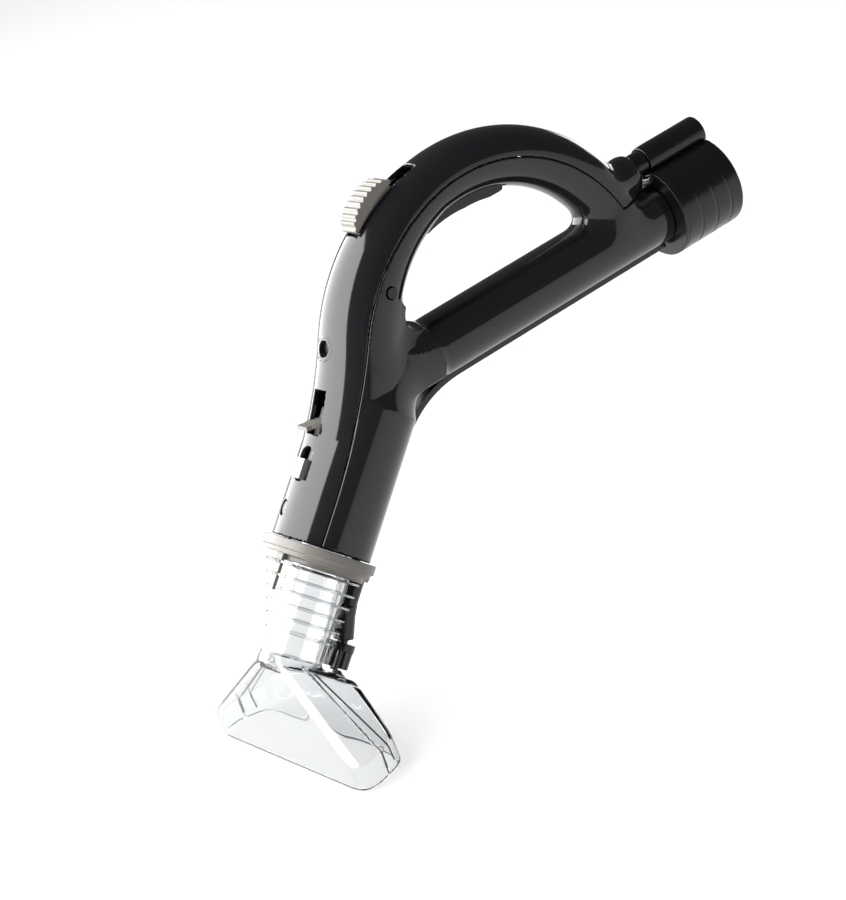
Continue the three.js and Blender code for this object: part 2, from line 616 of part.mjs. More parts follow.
place("jet_tip", rod(jetEnd, jetTop, JET_RADIUS - 0.3, 12, JET_RADIUS)
  .add(rod(nutAt(NUT_LOW - 1.2), nutAt(NUT_LOW + 1.6), PIPE_STEM_RADIUS - 0.5, 12)), BLACK);
place("pipe_seal", rod(pipeAt(pipeTop + GAP), pipeAt(pipeTop + 1.6), SPRAY_PIPE_RADIUS)
  .subtract(rod(pipeAt(pipeTop), pipeAt(pipeTop + 3), 1.7, 12)), RUBBER);

// ---- Latch -----------------------------------------------------------------------------
const latchFront = LATCH_OFFSET - LATCH_THICK / 2;
const latchRear = LATCH_OFFSET + LATCH_THICK / 2;
const tabFrame = neckFrame.clone()
  .multiply(new THREE.Matrix4().makeTranslation(latchFront, 0, LATCH_SLOT[0] + 7))
  .multiply(new THREE.Matrix4().makeRotationY(rad(-35)));
const latch = neckBlock(latchFront, latchRear, LATCH_HALF, LATCH_TIP, LATCH_TOP)
  .add(neckBlock(latchFront, latchRear, SLOT_HALF - SLIDE_GAP, LATCH_SLOT[0] - 4, LATCH_SLOT[1] - 6))
  .add(block(v(-11, -SLOT_HALF + SLIDE_GAP, -0.9), v(0.4, SLOT_HALF - SLIDE_GAP, 0.9), tabFrame));
place("latch_slide", latch, SATIN);
place("latch_button", neckBlock(-NECK_RADIUS - 2.2, latchFront - GAP, SLOT_HALF - SLIDE_GAP,
  BUTTON_SLOT[0] + 0.6, BUTTON_SLOT[1] - LATCH_TRAVEL - 0.6), SATIN);

// ---- Thumb slide -----------------------------------------------------------------------
const PLATE_LOW = ARC_RADIUS + 7.3;
const PLATE_HIGH = PLATE_LOW + 1.5;
place("slide_plate", slab(bandOutline(PLATE_LOW, PLATE_HIGH, SLIDER_FROM - 5, SLIDER_TO + 2), 6), WHITE);
const sliderMid = (SLIDER_FROM + SLIDER_TO) / 2;
const sliderBase = ARC_RADIUS + radiusAt(bendLength + ARC_RADIUS * (turn - rad(SLIDER_TO - 90))) + 0.4;
function sliderOutline() {
  const points = [];
  const teeth = SLIDER_RIBS * 4;
  for (let i = 0; i <= teeth; i += 1) {
    const u = i / teeth;
    const angle = THREE.MathUtils.lerp(SLIDER_FROM, SLIDER_TO, u);
    const crown = SLIDER_HEIGHT * Math.sqrt(Math.max(0.02, 1 - (2 * u - 1) ** 2));
    const rib = i % 4 < 2 ? 0.7 : -0.3;
    points.push(onArc(sliderBase + crown + rib, angle));
  }
  points.push(onArc(sliderBase, SLIDER_TO));
  for (let i = 1; i < 6; i += 1) {
    points.push(onArc(sliderBase, THREE.MathUtils.lerp(SLIDER_TO, SLIDER_FROM, i / 6)));
  }
  points.push(onArc(sliderBase, SLIDER_FROM));
  return points;
}
place("thumb_slide", slab(sliderOutline(), SLIDER_HALF)
  .add(slab(bandOutline(PLATE_HIGH + GAP, sliderBase + 1, sliderMid - 8, sliderMid + 8),
    SLIDER_HALF - 1.8)), SATIN);

// ---- Trigger ---------------------------------------------------------------------------
const gripInner = ARC_RADIUS - GRIP_RADIUS;
const leverTop = gripInner + 4.2;
const arm = [
  onArc(leverTop, TRIGGER_TO - 8),
  onArc(leverTop - 0.6, TRIGGER_TO - 1), onArc(leverTop - 1, TRIGGER_TO + 8),
  onArc(ARC_RADIUS + 2, PIN_ANGLE - 2), onArc(ARC_RADIUS - 3, PIN_ANGLE + 2),
  onArc(ARC_RADIUS - 9.8, TRIGGER_TO + 9),
  onArc(gripInner + 0.8, TRIGGER_TO), onArc(gripInner, TRIGGER_TO - 8),
];
const blade = slab([
  ...Array.from({ length: 9 }, (_, i) => onArc(
    leverTop, THREE.MathUtils.lerp(TRIGGER_FROM, TRIGGER_TO, i / 8),
  )),
  ...Array.from({ length: 11 }, (_, i) => {
    const u = i / 10;
    const tip = Math.sqrt(Math.min(1, (1.02 - u) / 0.2));
    const drop = TRIGGER_DROP * Math.min(1, 0.35 + 1.3 * u) * tip;
    return onArc(gripInner - drop, THREE.MathUtils.lerp(TRIGGER_TO, TRIGGER_FROM, u));
  }),
], TRIGGER_HALF);
place("trigger", blade.add(slab(arm, 4)).add(rod(pinAt(-4), pinAt(4), PIN_RADIUS + 2.2, 16))
  .subtract(rod(pinAt(-9), pinAt(9), PIN_RADIUS + GAP, 16)), BLACK);
place("trigger_pin", rod(pinAt(-17), pinAt(17), PIN_RADIUS, 16), STEEL);

// Return spring of the trigger, upright under the top of the grip.
const springLow = arcCentre.z + leverTop + GAP;
const springHigh = arcCentre.z + springSeatLow - GAP;
class Helix extends THREE.Curve {
  getPoint(t, target = new THREE.Vector3()) {
    const a = t * 2 * Math.PI * 3.5;
    return target.set(
      arcCentre.x + 2.6 * Math.cos(a), 2.6 * Math.sin(a),
      springLow + 0.5 + t * (springHigh - springLow - 1),
    );
  }
}
place("trigger_spring", cordAlong(new Helix(), 0.45, 42, 6), STEEL);

// ---- Solution valve and tubes ----------------------------------------------------------
const VALVE_ANGLE = 121;
const VALVE_RADIUS = 5.2;
const valveRing = ARC_RADIUS + 1.2;
const tangent = v(Math.sin(rad(VALVE_ANGLE)), 0, -Math.cos(rad(VALVE_ANGLE)));
const valveMid = onArc(valveRing, VALVE_ANGLE);
const valveEnd = (d) => valveMid.clone().addScaledVector(tangent, d);
const stemAt = (r) => onArc(r, VALVE_ANGLE - 1);
const STEM_RADIUS = 1.5;
const valveBody = rod(valveEnd(-9), valveEnd(9), VALVE_RADIUS, 20)
  .subtract(rod(stemAt(60), stemAt(valveRing + 1.5), STEM_RADIUS + SLIDE_GAP, 12))
  .subtract(rod(valveEnd(-20), valveEnd(20), 1.2, 10));
place("valve_body", valveBody, WHITE);
const stemLow = ARC_RADIUS - 9;
place("valve_stem", rod(stemAt(stemLow + 1.2), stemAt(valveRing - 1.2 - 1), STEM_RADIUS, 12), WHITE);

const feedUpper = [
  v(FAIRING_START_X + 4, 0, STUB_Z), v(FAIRING_START_X - 2, 1.5, STUB_Z + 2),
  onArc(ARC_RADIUS, 44, 5), onArc(ARC_RADIUS + 3, 60, 7), onArc(ARC_RADIUS + 3, 78, 7.5),
  onArc(ARC_RADIUS + 3, 96, 7), onArc(ARC_RADIUS + 2, 106, 3.5),
  valveEnd(12.5), valveEnd(9 + GAP),
];
place("feed_tube_upper", cordAlong(feedUpper, FEED_RADIUS, 32, 8), WHITE);
const SOCKET_TOP = 114;
const feedLower = [
  valveEnd(-9 - GAP), valveEnd(-12), onArc(ARC_RADIUS + 3.5, 139, 6.8), onArc(ARC_RADIUS + 4, 150, 10.5),
  onNeck(-5, 14.6, 178), onNeck(0, 16, 164), onNeck(5, 16.2, 150), onNeck(9.5, 14.2, 137),
  onNeck(14.6, 10, 126.5), onNeck(17.2, 4, 120), onNeck(SOCKET_OFFSET - 0.1, 0.3, SOCKET_TOP + 2.8),
  onNeck(SOCKET_OFFSET, 0, SOCKET_TOP + GAP),
];
place("feed_tube_lower", cordAlong(feedLower, FEED_RADIUS, 40, 8), WHITE);
const socketFoot = pipeTop + 1.6 + GAP;
place("feed_socket", rod(pipeAt(socketFoot), pipeAt(NECK_START - GAP), SPRAY_PIPE_RADIUS - 0.2)
  .add(rod(
    onNeck(SOCKET_OFFSET, 0, NECK_START - 1.5), onNeck(SOCKET_OFFSET, 0, SOCKET_TOP),
    SOCKET_RADIUS - 0.4, 16,
  ))
  .subtract(rod(pipeAt(socketFoot - 1), onNeck(SOCKET_OFFSET, 0, SOCKET_TOP + 1), 1.1, 10)), BLACK);

// ---- Screws ----------------------------------------------------------------------------
const screw = (from, seat, to) => rod(from, seat, SHANK_RADIUS, 10).add(rod(seat, to, SCREW_RADIUS, 16));
place("screw_upper", screw(
  onArc(ARC_RADIUS + 3, upperScrewSlope), onArc(ARC_RADIUS + 13 + GAP, upperScrewSlope),
  onArc(ARC_RADIUS + 15.4, upperScrewSlope),
), STEEL);
place("screw_lower", screw(
  lowerScrewAt(16.6), lowerScrewAt(NECK_RADIUS - WALL), lowerScrewAt(NECK_RADIUS - 0.9),
), STEEL);

// ---- Hose end --------------------------------------------------------------------------
const SLEEVE_START_X = 258;
place("inlet_stub", rod(
  v(FAIRING_START_X + 4 + GAP, 0, STUB_Z), v(SLEEVE_START_X + 8, 0, STUB_Z), STUB_RADIUS, 20,
)
  .subtract(rod(v(FAIRING_START_X, 0, STUB_Z), v(SLEEVE_START_X + 20, 0, STUB_Z), 2.2, 12)), BLACK);
const cuff = rod(v(STRUT_END_X + GAP, 0, STRUT_Z), v(CUFF_END_X, 0, STRUT_Z), CUFF_RADIUS, STEPS)
  .subtract(rod(v(STRUT_END_X - 1, 0, STRUT_Z), v(CUFF_END_X + 1, 0, STRUT_Z), CUFF_RADIUS - 3, STEPS))
  .add(rod(v(STRUT_END_X + GAP, 0, STRUT_Z), v(STRUT_END_X + 3, 0, STRUT_Z), CUFF_RADIUS - 1, STEPS))
  .subtract(rod(
    v(STRUT_END_X - 1, 0, STRUT_Z), v(STRUT_END_X + 5, 0, STRUT_Z),
    STRUT_DUCT_RADIUS + GAP, STEPS,
  ));
place("hose_cuff", cuff.subtract(rod(
  v(STRUT_END_X, 0, STUB_Z), v(CUFF_END_X + 1, 0, STUB_Z), SLEEVE_RADIUS + GAP, 20,
)), BLACK);
place("solution_sleeve", rod(v(SLEEVE_START_X, 0, STUB_Z), v(CUFF_END_X, 0, STUB_Z), SLEEVE_RADIUS, 24)
  .subtract(rod(v(SLEEVE_START_X - 1, 0, STUB_Z), v(SLEEVE_START_X + 10, 0, STUB_Z), STUB_RADIUS + GAP, 20))
  .subtract(rod(v(SLEEVE_START_X + 8, 0, STUB_Z), v(CUFF_END_X + 1, 0, STUB_Z), 4.8, 20)), BLACK);

export default group;
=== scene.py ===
"""Looks of a carpet cleaner's hand tool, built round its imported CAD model."""
import math

import bmesh
import bpy
import numpy as np
from mathutils import Matrix, Vector


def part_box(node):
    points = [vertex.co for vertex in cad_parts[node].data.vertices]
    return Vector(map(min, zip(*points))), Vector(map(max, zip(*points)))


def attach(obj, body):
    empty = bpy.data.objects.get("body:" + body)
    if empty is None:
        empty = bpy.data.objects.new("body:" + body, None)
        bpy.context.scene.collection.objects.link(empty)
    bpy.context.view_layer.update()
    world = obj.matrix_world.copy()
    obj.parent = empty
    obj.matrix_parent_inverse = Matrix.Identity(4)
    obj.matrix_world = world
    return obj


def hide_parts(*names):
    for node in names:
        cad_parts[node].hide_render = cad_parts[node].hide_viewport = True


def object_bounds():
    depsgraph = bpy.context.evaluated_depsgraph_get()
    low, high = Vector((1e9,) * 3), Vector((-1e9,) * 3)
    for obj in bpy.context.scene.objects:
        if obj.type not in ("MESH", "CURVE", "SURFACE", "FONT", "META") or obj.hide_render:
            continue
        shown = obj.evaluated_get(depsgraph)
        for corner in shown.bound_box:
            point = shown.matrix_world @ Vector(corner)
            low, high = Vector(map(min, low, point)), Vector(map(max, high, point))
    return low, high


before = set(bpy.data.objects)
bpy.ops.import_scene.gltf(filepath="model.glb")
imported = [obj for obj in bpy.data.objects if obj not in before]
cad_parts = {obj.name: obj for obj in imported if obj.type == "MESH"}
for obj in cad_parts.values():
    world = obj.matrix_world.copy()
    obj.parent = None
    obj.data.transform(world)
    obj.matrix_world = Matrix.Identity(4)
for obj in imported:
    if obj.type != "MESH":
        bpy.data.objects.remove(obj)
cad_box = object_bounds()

# ---- Driving dimensions, in millimetres and in the frame of the part -------------
MM = 0.001
LEAN = math.radians(45)  # of the neck
NECK_FOOT_X = -39.5
NECK_RADIUS = 22.0
NECK_START = 109.8
NECK_SHOULDER = 174.0
NECK_TOP = 197.0
WALL = 2.4
BEND_RADIUS = 194.0
BEND_START = 126.0
TURN = math.radians(67)
ARC_RADIUS = 75.5
ARC_END = math.radians(18)
GRIP_RADIUS = 13.4
THINNEST_AT = math.radians(100)
PARTING_NECK = 12.0
SEAM_GAP = 0.34
STRUT_RADIUS = 14.0
STRUT_Z = 130.2
STRUT_END_X = 256.0
WEB_HALF = 11.0
FAIRING = (226.0, 252.0, 152.8, 9.6)  # from X, to X, height, radius
STUB_Z = 154.3
STUB_RADIUS = 6.0
TUBE_OFFSET = 2.8
TUBE_RADIUS = 13.5
TUBE_START = 60.0
SPIGOT_START = 104.0
SPIGOT_RADIUS = 11.8
TUBE_END = 137.0
CLEAR_WALL = 2.2
MOUTH = (27.0, 120.0, 12.0)  # depth, width, height of the straight rim
SHOULDER = (17.6, 27.0, 29.5)  # the fan's rear shoulder: X, half its width, height
SEAM_X = 1.0
SEAM_LEAN = 0.04
FIN_COUNT = 6
FIN_FIRST = 99.2  # up the neck's axis
FIN_PITCH = 5.5
FIN_RADIUS = 20.9
FIN_TAPER = 1.06  # each lower fin's radius is this much smaller
FIN_BACK = -3.1  # the first fin's centre, behind the nozzle neck's axis
FIN_SHIFT = 0.78  # each lower fin sits this much further back
FIN_HALF = 0.6  # half its thickness
COLLAR_RADIUS = 25.0
COLLAR_THICK = 6.6
SKIRT_RADIUS = 19.2
CUFF_RADIUS = 21.5
CUFF_END_X = 292.0
SLEEVE_START_X = 258.0
SLEEVE_RADIUS = 7.2
SPRAY_PIPE_OFFSET = 21.4
SPRAY_PIPE_RADIUS = 4.6
NUT_SHIFT = 4.0
NUT = (63.0, 74.0, 6.2)
PIPE_KNEE = 88.0
SLIDER = (109.8, 126.8, 5.6, 5.6, 10)  # polar angles, half width, height, ribs
PIN_ANGLE = math.radians(140)
PIN_OFFSET = -3.0


def on_neck(n, y, s):
    """A point n behind the neck's axis and s up along it."""
    return np.array([
        NECK_FOOT_X + n * math.sin(LEAN) + s * math.cos(LEAN), y,
        -n * math.cos(LEAN) + s * math.sin(LEAN),
    ])


BEND_FOOT = on_neck(0, 0, BEND_START)
BEND_CENTRE = BEND_FOOT + BEND_RADIUS * np.array([-math.sin(LEAN), 0, math.cos(LEAN)])
JUNCTION = BEND_CENTRE + BEND_RADIUS * np.array([math.sin(TURN), 0, -math.cos(TURN)])
ARC_CENTRE = JUNCTION + ARC_RADIUS * np.array([math.sin(TURN), 0, -math.cos(TURN)])
BEND_LENGTH = BEND_RADIUS * (TURN - LEAN)
TAPER_LENGTH = BEND_LENGTH + ARC_RADIUS * (TURN - THINNEST_AT + math.pi / 2)


def on_arc(radius, angle, y=0.0):
    return np.array([
        ARC_CENTRE[0] + radius * math.cos(angle), y, ARC_CENTRE[2] + radius * math.sin(angle),
    ])


def radius_at(run):
    """The handle's radius, which tapers from the neck's to the grip's."""
    return NECK_RADIUS + (GRIP_RADIUS - NECK_RADIUS) * np.clip(run / TAPER_LENGTH, 0, 1)


# ---- Fields: signed distances in millimetres ----------------------------------------
def join(a, b, k):
    """Smooth union: the corner between a and b is filled over about k."""
    h = np.maximum(k - np.abs(a - b), 0) / k
    return np.minimum(a, b) - h * h * k / 4


def cut(a, b, k=0.5):
    """a without b, with its new edge rounded over about k."""
    return -join(-a, b, k)


def both(a, b, k=0.5):
    """What a and b share, with its new edge rounded over about k."""
    return -join(-a, -b, k)


def neck_coordinates(x, z):
    """How far a point lies behind the neck's axis, and how far up along it."""
    u = x - NECK_FOOT_X
    return u * math.sin(LEAN) - z * math.cos(LEAN), u * math.cos(LEAN) + z * math.sin(LEAN)


def spine(x, z):
    """Outward offset from the handle's centre line and the run along it."""
    rear, s = neck_coordinates(x, z)
    to_bend = np.hypot(x - BEND_CENTRE[0], z - BEND_CENTRE[2])
    bend_slope = np.arctan2(x - BEND_CENTRE[0], BEND_CENTRE[2] - z)
    rho = np.hypot(x - ARC_CENTRE[0], z - ARC_CENTRE[2])
    polar = np.arctan2(z - ARC_CENTRE[2], x - ARC_CENTRE[0])
    past = (x - JUNCTION[0]) * math.cos(TURN) + (z - JUNCTION[2]) * math.sin(TURN)
    end = on_arc(ARC_RADIUS, ARC_END)
    to_end = np.hypot(x - end[0], z - end[2])
    arc_run = BEND_LENGTH + ARC_RADIUS * (TURN - (polar - math.pi / 2))
    offset = np.where(s < BEND_START, -rear, BEND_RADIUS - to_bend)
    run = np.where(s < BEND_START, s - BEND_START, BEND_RADIUS * (bend_slope - LEAN))
    on_ring = (past > 0) & (polar > ARC_END)
    beyond = (past > 0) & (polar <= ARC_END)
    offset = np.where(on_ring, rho - ARC_RADIUS, np.where(beyond, to_end, offset))
    run = np.where(past > 0, arc_run, run)
    return offset, run


def rod(x, y, z, a, b, radius):
    """A round bar from a to b with flat ends."""
    a, b = np.asarray(a, float), np.asarray(b, float)
    length = np.linalg.norm(b - a)
    d = (b - a) / length
    px, py, pz = x - a[0], y - a[1], z - a[2]
    along = px * d[0] + py * d[1] + pz * d[2]
    away = np.sqrt(np.maximum(px * px + py * py + pz * pz - along * along, 0))
    return np.maximum(away - radius, np.maximum(-along, along - length))


def outer_body(x, y, z):
    """The outside of the handle: neck, bend, grip, strut, web and the fairing of the stub."""
    offset, run = spine(x, z)
    body = np.sqrt(offset * offset + y * y) - radius_at(run)
    rear, s = neck_coordinates(x, z)
    taper = np.clip((s - NECK_SHOULDER) / (NECK_TOP - NECK_SHOULDER), 0, 1)
    neck_radius = NECK_RADIUS + (STRUT_RADIUS - 2 - NECK_RADIUS) * taper
    neck = np.maximum(np.sqrt(rear * rear + y * y) - neck_radius, s - NECK_TOP)
    strut_start = on_neck(0, 0, NECK_TOP - 13)[0]
    strut = np.sqrt(y * y + (z - STRUT_Z) ** 2) - STRUT_RADIUS
    strut = np.maximum(strut, strut_start - x)
    body = join(np.minimum(body, neck), strut, 9.0)
    # The web in the hand opening's front corner leaves a round end to the opening.
    hollow = 8.0
    wz = STRUT_Z + STRUT_RADIUS + hollow
    reach = (ARC_RADIUS - GRIP_RADIUS - hollow) ** 2 - (wz - ARC_CENTRE[2]) ** 2
    wx = ARC_CENTRE[0] - math.sqrt(reach)
    away = np.hypot(x - wx, z - wz)
    slope = math.atan2(wz - ARC_CENTRE[2], wx - ARC_CENTRE[0])
    side = (x - wx) * math.sin(slope) - (z - wz) * math.cos(slope)
    web = box_field(hollow - away, x - wx, side, np.hypot(x - 112, z - 146) - 24, np.abs(y) - WEB_HALF)
    body = join(body, web, 7.0)
    start, stop, height, radius = FAIRING
    fairing = np.sqrt(y * y + (z - height) ** 2) - radius
    fairing = both(fairing, np.maximum(start - x, x - stop), 6.0)
    return join(body, fairing, 4.0)


def parting(x, z):
    """Positive on the front cover's side of the parting line."""
    offset, run = spine(x, z)
    t = np.clip(run / TAPER_LENGTH, 0, 1)
    side = offset - PARTING_NECK * (1 - t * t * (3 - 2 * t))
    above_strut = z - (STRUT_Z + STRUT_RADIUS + 0.9)
    return np.where(x > ARC_CENTRE[0], np.minimum(side, above_strut), side)


def hollow_body(x, y, z):
    """The handle's wall, cut off at the neck's foot and at the strut's end."""
    skin = outer_body(x, y, z)
    shell = np.maximum(skin, -(skin + WALL))
    _, s = neck_coordinates(x, z)
    return both(both(shell, NECK_START - s), x - STRUT_END_X)


UPPER_SCREW = math.radians(158.5)
LATCH_SLOT = (154.5, 173.0)
BUTTON_SLOT = (134.0, 149.0)
SLOT_HALF = 4.2
LOWER_SCREW = (5.0, 121.5)


def box_field(*sides):
    """What lies inside every one of the sides."""
    return np.maximum.reduce(np.broadcast_arrays(*sides))


def front_cover(x, y, z):
    """The front cover with its two slots, its screw holes and the thumb slide's slot."""
    shell = both(hollow_body(x, y, z), SEAM_GAP / 2 - parting(x, z))
    rear, s = neck_coordinates(x, z)
    front = rear + 14
    for low, high in (LATCH_SLOT, BUTTON_SLOT):
        middle, half = (low + high) / 2, (high - low) / 2
        if (low, high) == BUTTON_SLOT:
            slot = np.hypot(y, np.maximum(np.abs(s - middle) - half + SLOT_HALF, 0)) - SLOT_HALF
        else:
            slot = np.maximum(np.abs(y) - SLOT_HALF, np.abs(s - middle) - half)
        shell = cut(shell, np.maximum(slot, front))
    outer, inner = on_arc(ARC_RADIUS + 24, UPPER_SCREW), on_arc(ARC_RADIUS + 9.5, UPPER_SCREW)
    seat = on_arc(ARC_RADIUS + 13, UPPER_SCREW)
    boss = np.maximum(rod(x, y, z, inner, outer, 4.9), outer_body(x, y, z))
    shell = join(shell, boss, 1.0)
    shell = cut(shell, rod(x, y, z, seat, outer, 3.4))
    shell = cut(shell, rod(x, y, z, on_arc(ARC_RADIUS, UPPER_SCREW), outer, 1.8))
    y0, s0 = LOWER_SCREW
    direction = -math.sqrt(1 - (y0 / NECK_RADIUS) ** 2)
    lower = [on_neck(direction * r, y0 * r / NECK_RADIUS, s0) for r in (NECK_RADIUS - 6, NECK_RADIUS + 6)]
    shell = cut(shell, rod(x, y, z, lower[0], lower[1], 3.4))
    rho = np.hypot(x - ARC_CENTRE[0], z - ARC_CENTRE[2])
    polar = np.arctan2(z - ARC_CENTRE[2], x - ARC_CENTRE[0])
    first, last = math.radians(SLIDER[0] - 9), math.radians(SLIDER[1] + 0.6)
    slot = box_field(np.abs(y) - SLIDER[2] + 1.5, ARC_RADIUS + 6 - rho,
                     (first - polar) * ARC_RADIUS, (polar - last) * ARC_RADIUS)
    return cut(shell, slot)


def rear_cover(x, y, z):
    """The rear cover with the trigger's slot and the pin's hole."""
    shell = both(hollow_body(x, y, z), parting(x, z) + SEAM_GAP / 2)
    rho = np.hypot(x - ARC_CENTRE[0], z - ARC_CENTRE[2])
    polar = np.arctan2(z - ARC_CENTRE[2], x - ARC_CENTRE[0])
    slot = box_field(np.abs(y) - 5.6, rho - ARC_RADIUS + 8, ARC_RADIUS - 24 - rho,
                     (math.radians(68.8) - polar) * 60, (polar - math.radians(118)) * 60)
    shell = cut(shell, slot)
    pin = on_arc(ARC_RADIUS + PIN_OFFSET, PIN_ANGLE)
    return cut(shell, rod(x, y, z, pin + [0, -30, 0], pin + [0, 30, 0], 2.7))


# ---- Meshing -------------------------------------------------------------------------
def surface(name, field, low, high, step):
    """A mesh of the field's zero level: surface nets, with each point moved onto it."""
    axes = [np.arange(low[i], high[i] + step, step) for i in range(3)]
    x, y, z = np.meshgrid(*axes, indexing="ij", sparse=True)
    value = np.broadcast_to(field(x, y, z), [len(a) for a in axes])
    inside = value < 0
    corners = [(i, j, k) for i in (0, 1) for j in (0, 1) for k in (0, 1)]
    shape = [n - 1 for n in value.shape]
    count = sum(
        inside[i:i + shape[0], j:j + shape[1], k:k + shape[2]].astype(np.int8)
        for i, j, k in corners
    )
    cells = np.argwhere((count > 0) & (count < 8))
    number = np.full(shape, -1, np.int32)
    number[tuple(cells.T)] = np.arange(len(cells))
    total = np.zeros((len(cells), 3))
    hits = np.zeros(len(cells))
    for a in corners:
        for axis in range(3):
            if a[axis]:
                continue
            b = list(a)
            b[axis] = 1
            va = value[tuple((cells + a).T)]
            vb = value[tuple((cells + b).T)]
            crossed = (va < 0) != (vb < 0)
            t = np.where(crossed, va / np.where(crossed, va - vb, 1), 0)
            point = np.array(a, float) + t[:, None] * np.eye(3)[axis]
            total += point * crossed[:, None]
            hits += crossed
    points = (cells + total / hits[:, None]) * step + np.array(low)
    faces = []
    for axis in range(3):
        first = [slice(None)] * 3
        second = [slice(None)] * 3
        first[axis], second[axis] = slice(0, -1), slice(1, None)
        a, b = inside[tuple(first)], inside[tuple(second)]
        edges = np.argwhere(a != b)
        others = [i for i in range(3) if i != axis]
        keep = np.all([(edges[:, i] > 0) & (edges[:, i] < value.shape[i] - 1) for i in others], 0)
        edges = edges[keep]
        flip = a[tuple(edges.T)]
        if axis == 1:
            flip = ~flip
        ring = []
        for du, dv in ((-1, -1), (0, -1), (0, 0), (-1, 0)):
            cell = edges.copy()
            cell[:, others[0]] += du
            cell[:, others[1]] += dv
            ring.append(number[tuple(cell.T)])
        quad = np.stack(ring, 1)
        quad[~flip] = quad[~flip][:, ::-1]
        faces.append(quad)
    quads = np.concatenate(faces)
    small = step * 0.02
    for _ in range(3):
        here, slope = level(field, points, small)
        move = -here[:, None] * slope / np.maximum((slope ** 2).sum(1), 0.25)[:, None]
        length = np.linalg.norm(move, axis=1)
        move *= np.minimum(1, 0.4 * step / np.maximum(length, 1e-9))[:, None]
        points = points + move
    _, slope = level(field, points, small * 6)
    normals = slope / np.maximum(np.linalg.norm(slope, axis=1), 1e-9)[:, None]
    mesh = bpy.data.meshes.new(name)
    mesh.from_pydata((points * MM).tolist(), [], quads.tolist())
    mesh.polygons.foreach_set("use_smooth", [True] * len(mesh.polygons))
    mesh.update()
    mesh.normals_split_custom_set_from_vertices(normals.tolist())
    return linked(name, mesh)


def level(field, points, small):
    """The field at points and its slope there."""
    x, y, z = points.T
    here = field(x, y, z)
    slope = np.stack([
        field(x + small, y, z) - field(x - small, y, z),
        field(x, y + small, z) - field(x, y - small, z),
        field(x, y, z + small) - field(x, y, z - small),
    ], 1) / (2 * small)
    return here, slope


def linked(name, mesh):
    piece = bpy.data.objects.new(name, mesh)
    bpy.context.scene.collection.objects.link(piece)
    return piece


def mesh_piece(name, points, faces, smooth_angle=35):
    """A mesh from points in millimetres, with outward faces, shaded smooth below an angle."""
    mesh = bpy.data.meshes.new(name)
    mesh.from_pydata([tuple(np.asarray(p) * MM) for p in points], [], faces)
    made = bmesh.new()
    made.from_mesh(mesh)
    bmesh.ops.remove_doubles(made, verts=made.verts, dist=1e-7)
    bmesh.ops.recalc_face_normals(made, faces=made.faces)
    limit = math.radians(smooth_angle)
    for face in made.faces:
        face.smooth = True
    for edge in made.edges:
        if len(edge.link_faces) == 2 and edge.calc_face_angle(0) > limit:
            edge.smooth = False
    made.to_mesh(mesh)
    made.free()
    return linked(name, mesh)


def lathe(name, profile, foot, axis, sides=96):
    """A closed profile of [radius, height] pairs turned about an axis through foot."""
    foot, axis = np.asarray(foot, float), np.asarray(axis, float)
    axis = axis / np.linalg.norm(axis)
    across = np.array([0.0, 1.0, 0.0])
    third = np.cross(axis, across)
    points = []
    for i in range(sides):
        a = 2 * math.pi * i / sides
        way = across * math.cos(a) + third * math.sin(a)
        points += [foot + way * r + axis * h for r, h in profile]
    n = len(profile)
    faces = []
    for i in range(sides):
        for j in range(n):
            k = (j + 1) % n
            if profile[j][0] < 1e-6 and profile[k][0] < 1e-6:
                continue
            a, b = i * n, ((i + 1) % sides) * n
            faces.append([a + j, a + k, b + k, b + j])
    return mesh_piece(name, points, faces)


def rounded(profile, radius, steps=4):
    """The profile with its corners rounded. Corners on the axis stay."""
    out = []
    n = len(profile)
    for i in range(n):
        p = np.array(profile[i], float)
        a = np.array(profile[i - 1], float) - p
        b = np.array(profile[(i + 1) % n], float) - p
        la, lb = np.linalg.norm(a), np.linalg.norm(b)
        if p[0] < 1e-6 or la < 1e-6 or lb < 1e-6:
            out.append(tuple(p))
            continue
        reach = min(radius, 0.45 * la, 0.45 * lb)
        start, end = p + a / la * reach, p + b / lb * reach
        for j in range(steps + 1):
            t = j / steps
            q = start * (1 - t) ** 2 + p * 2 * t * (1 - t) + end * t * t
            out.append(tuple(q))
    return out


def sweep(name, path, section, ups):
    """A closed section carried along a path. Section points are (sideways Y, up)."""
    points = []
    for p, up in zip(path, ups):
        points += [np.asarray(p) + np.array([0, a, 0]) + np.asarray(up) * b for a, b in section]
    n = len(section)
    faces = []
    for i in range(len(path) - 1):
        for j in range(n):
            k = (j + 1) % n
            faces.append([i * n + j, i * n + k, (i + 1) * n + k, (i + 1) * n + j])
    faces.append(list(range(n)))
    faces.append([(len(path) - 1) * n + j for j in range(n)])
    return mesh_piece(name, points, faces, 50)


def prism_faces(n):
    """The faces of a prism: two ends of n points each, and its sides."""
    faces = [list(range(n)), [n + i for i in range(n)]]
    return faces + [[i, (i + 1) % n, n + (i + 1) % n, n + i] for i in range(n)]


def extruded(name, outline, half, bevel=0.4):
    """A flat outline in the XZ plane made thick on both sides of Y = 0, with soft edges."""
    n = len(outline)
    points = [np.array([p[0], y, p[2]]) for y in (-half, half) for p in outline]
    piece = mesh_piece(name, points, prism_faces(n))
    soften(piece, bevel)
    return piece


def soften(piece, width, segments=3, angle=40):
    """Rounds the sharp edges of a piece with modifiers."""
    bevel = piece.modifiers.new("soft_edges", "BEVEL")
    bevel.width = width * MM
    bevel.segments = segments
    bevel.limit_method = "ANGLE"
    bevel.angle_limit = math.radians(angle)
    bevel.harden_normals = True
    return piece


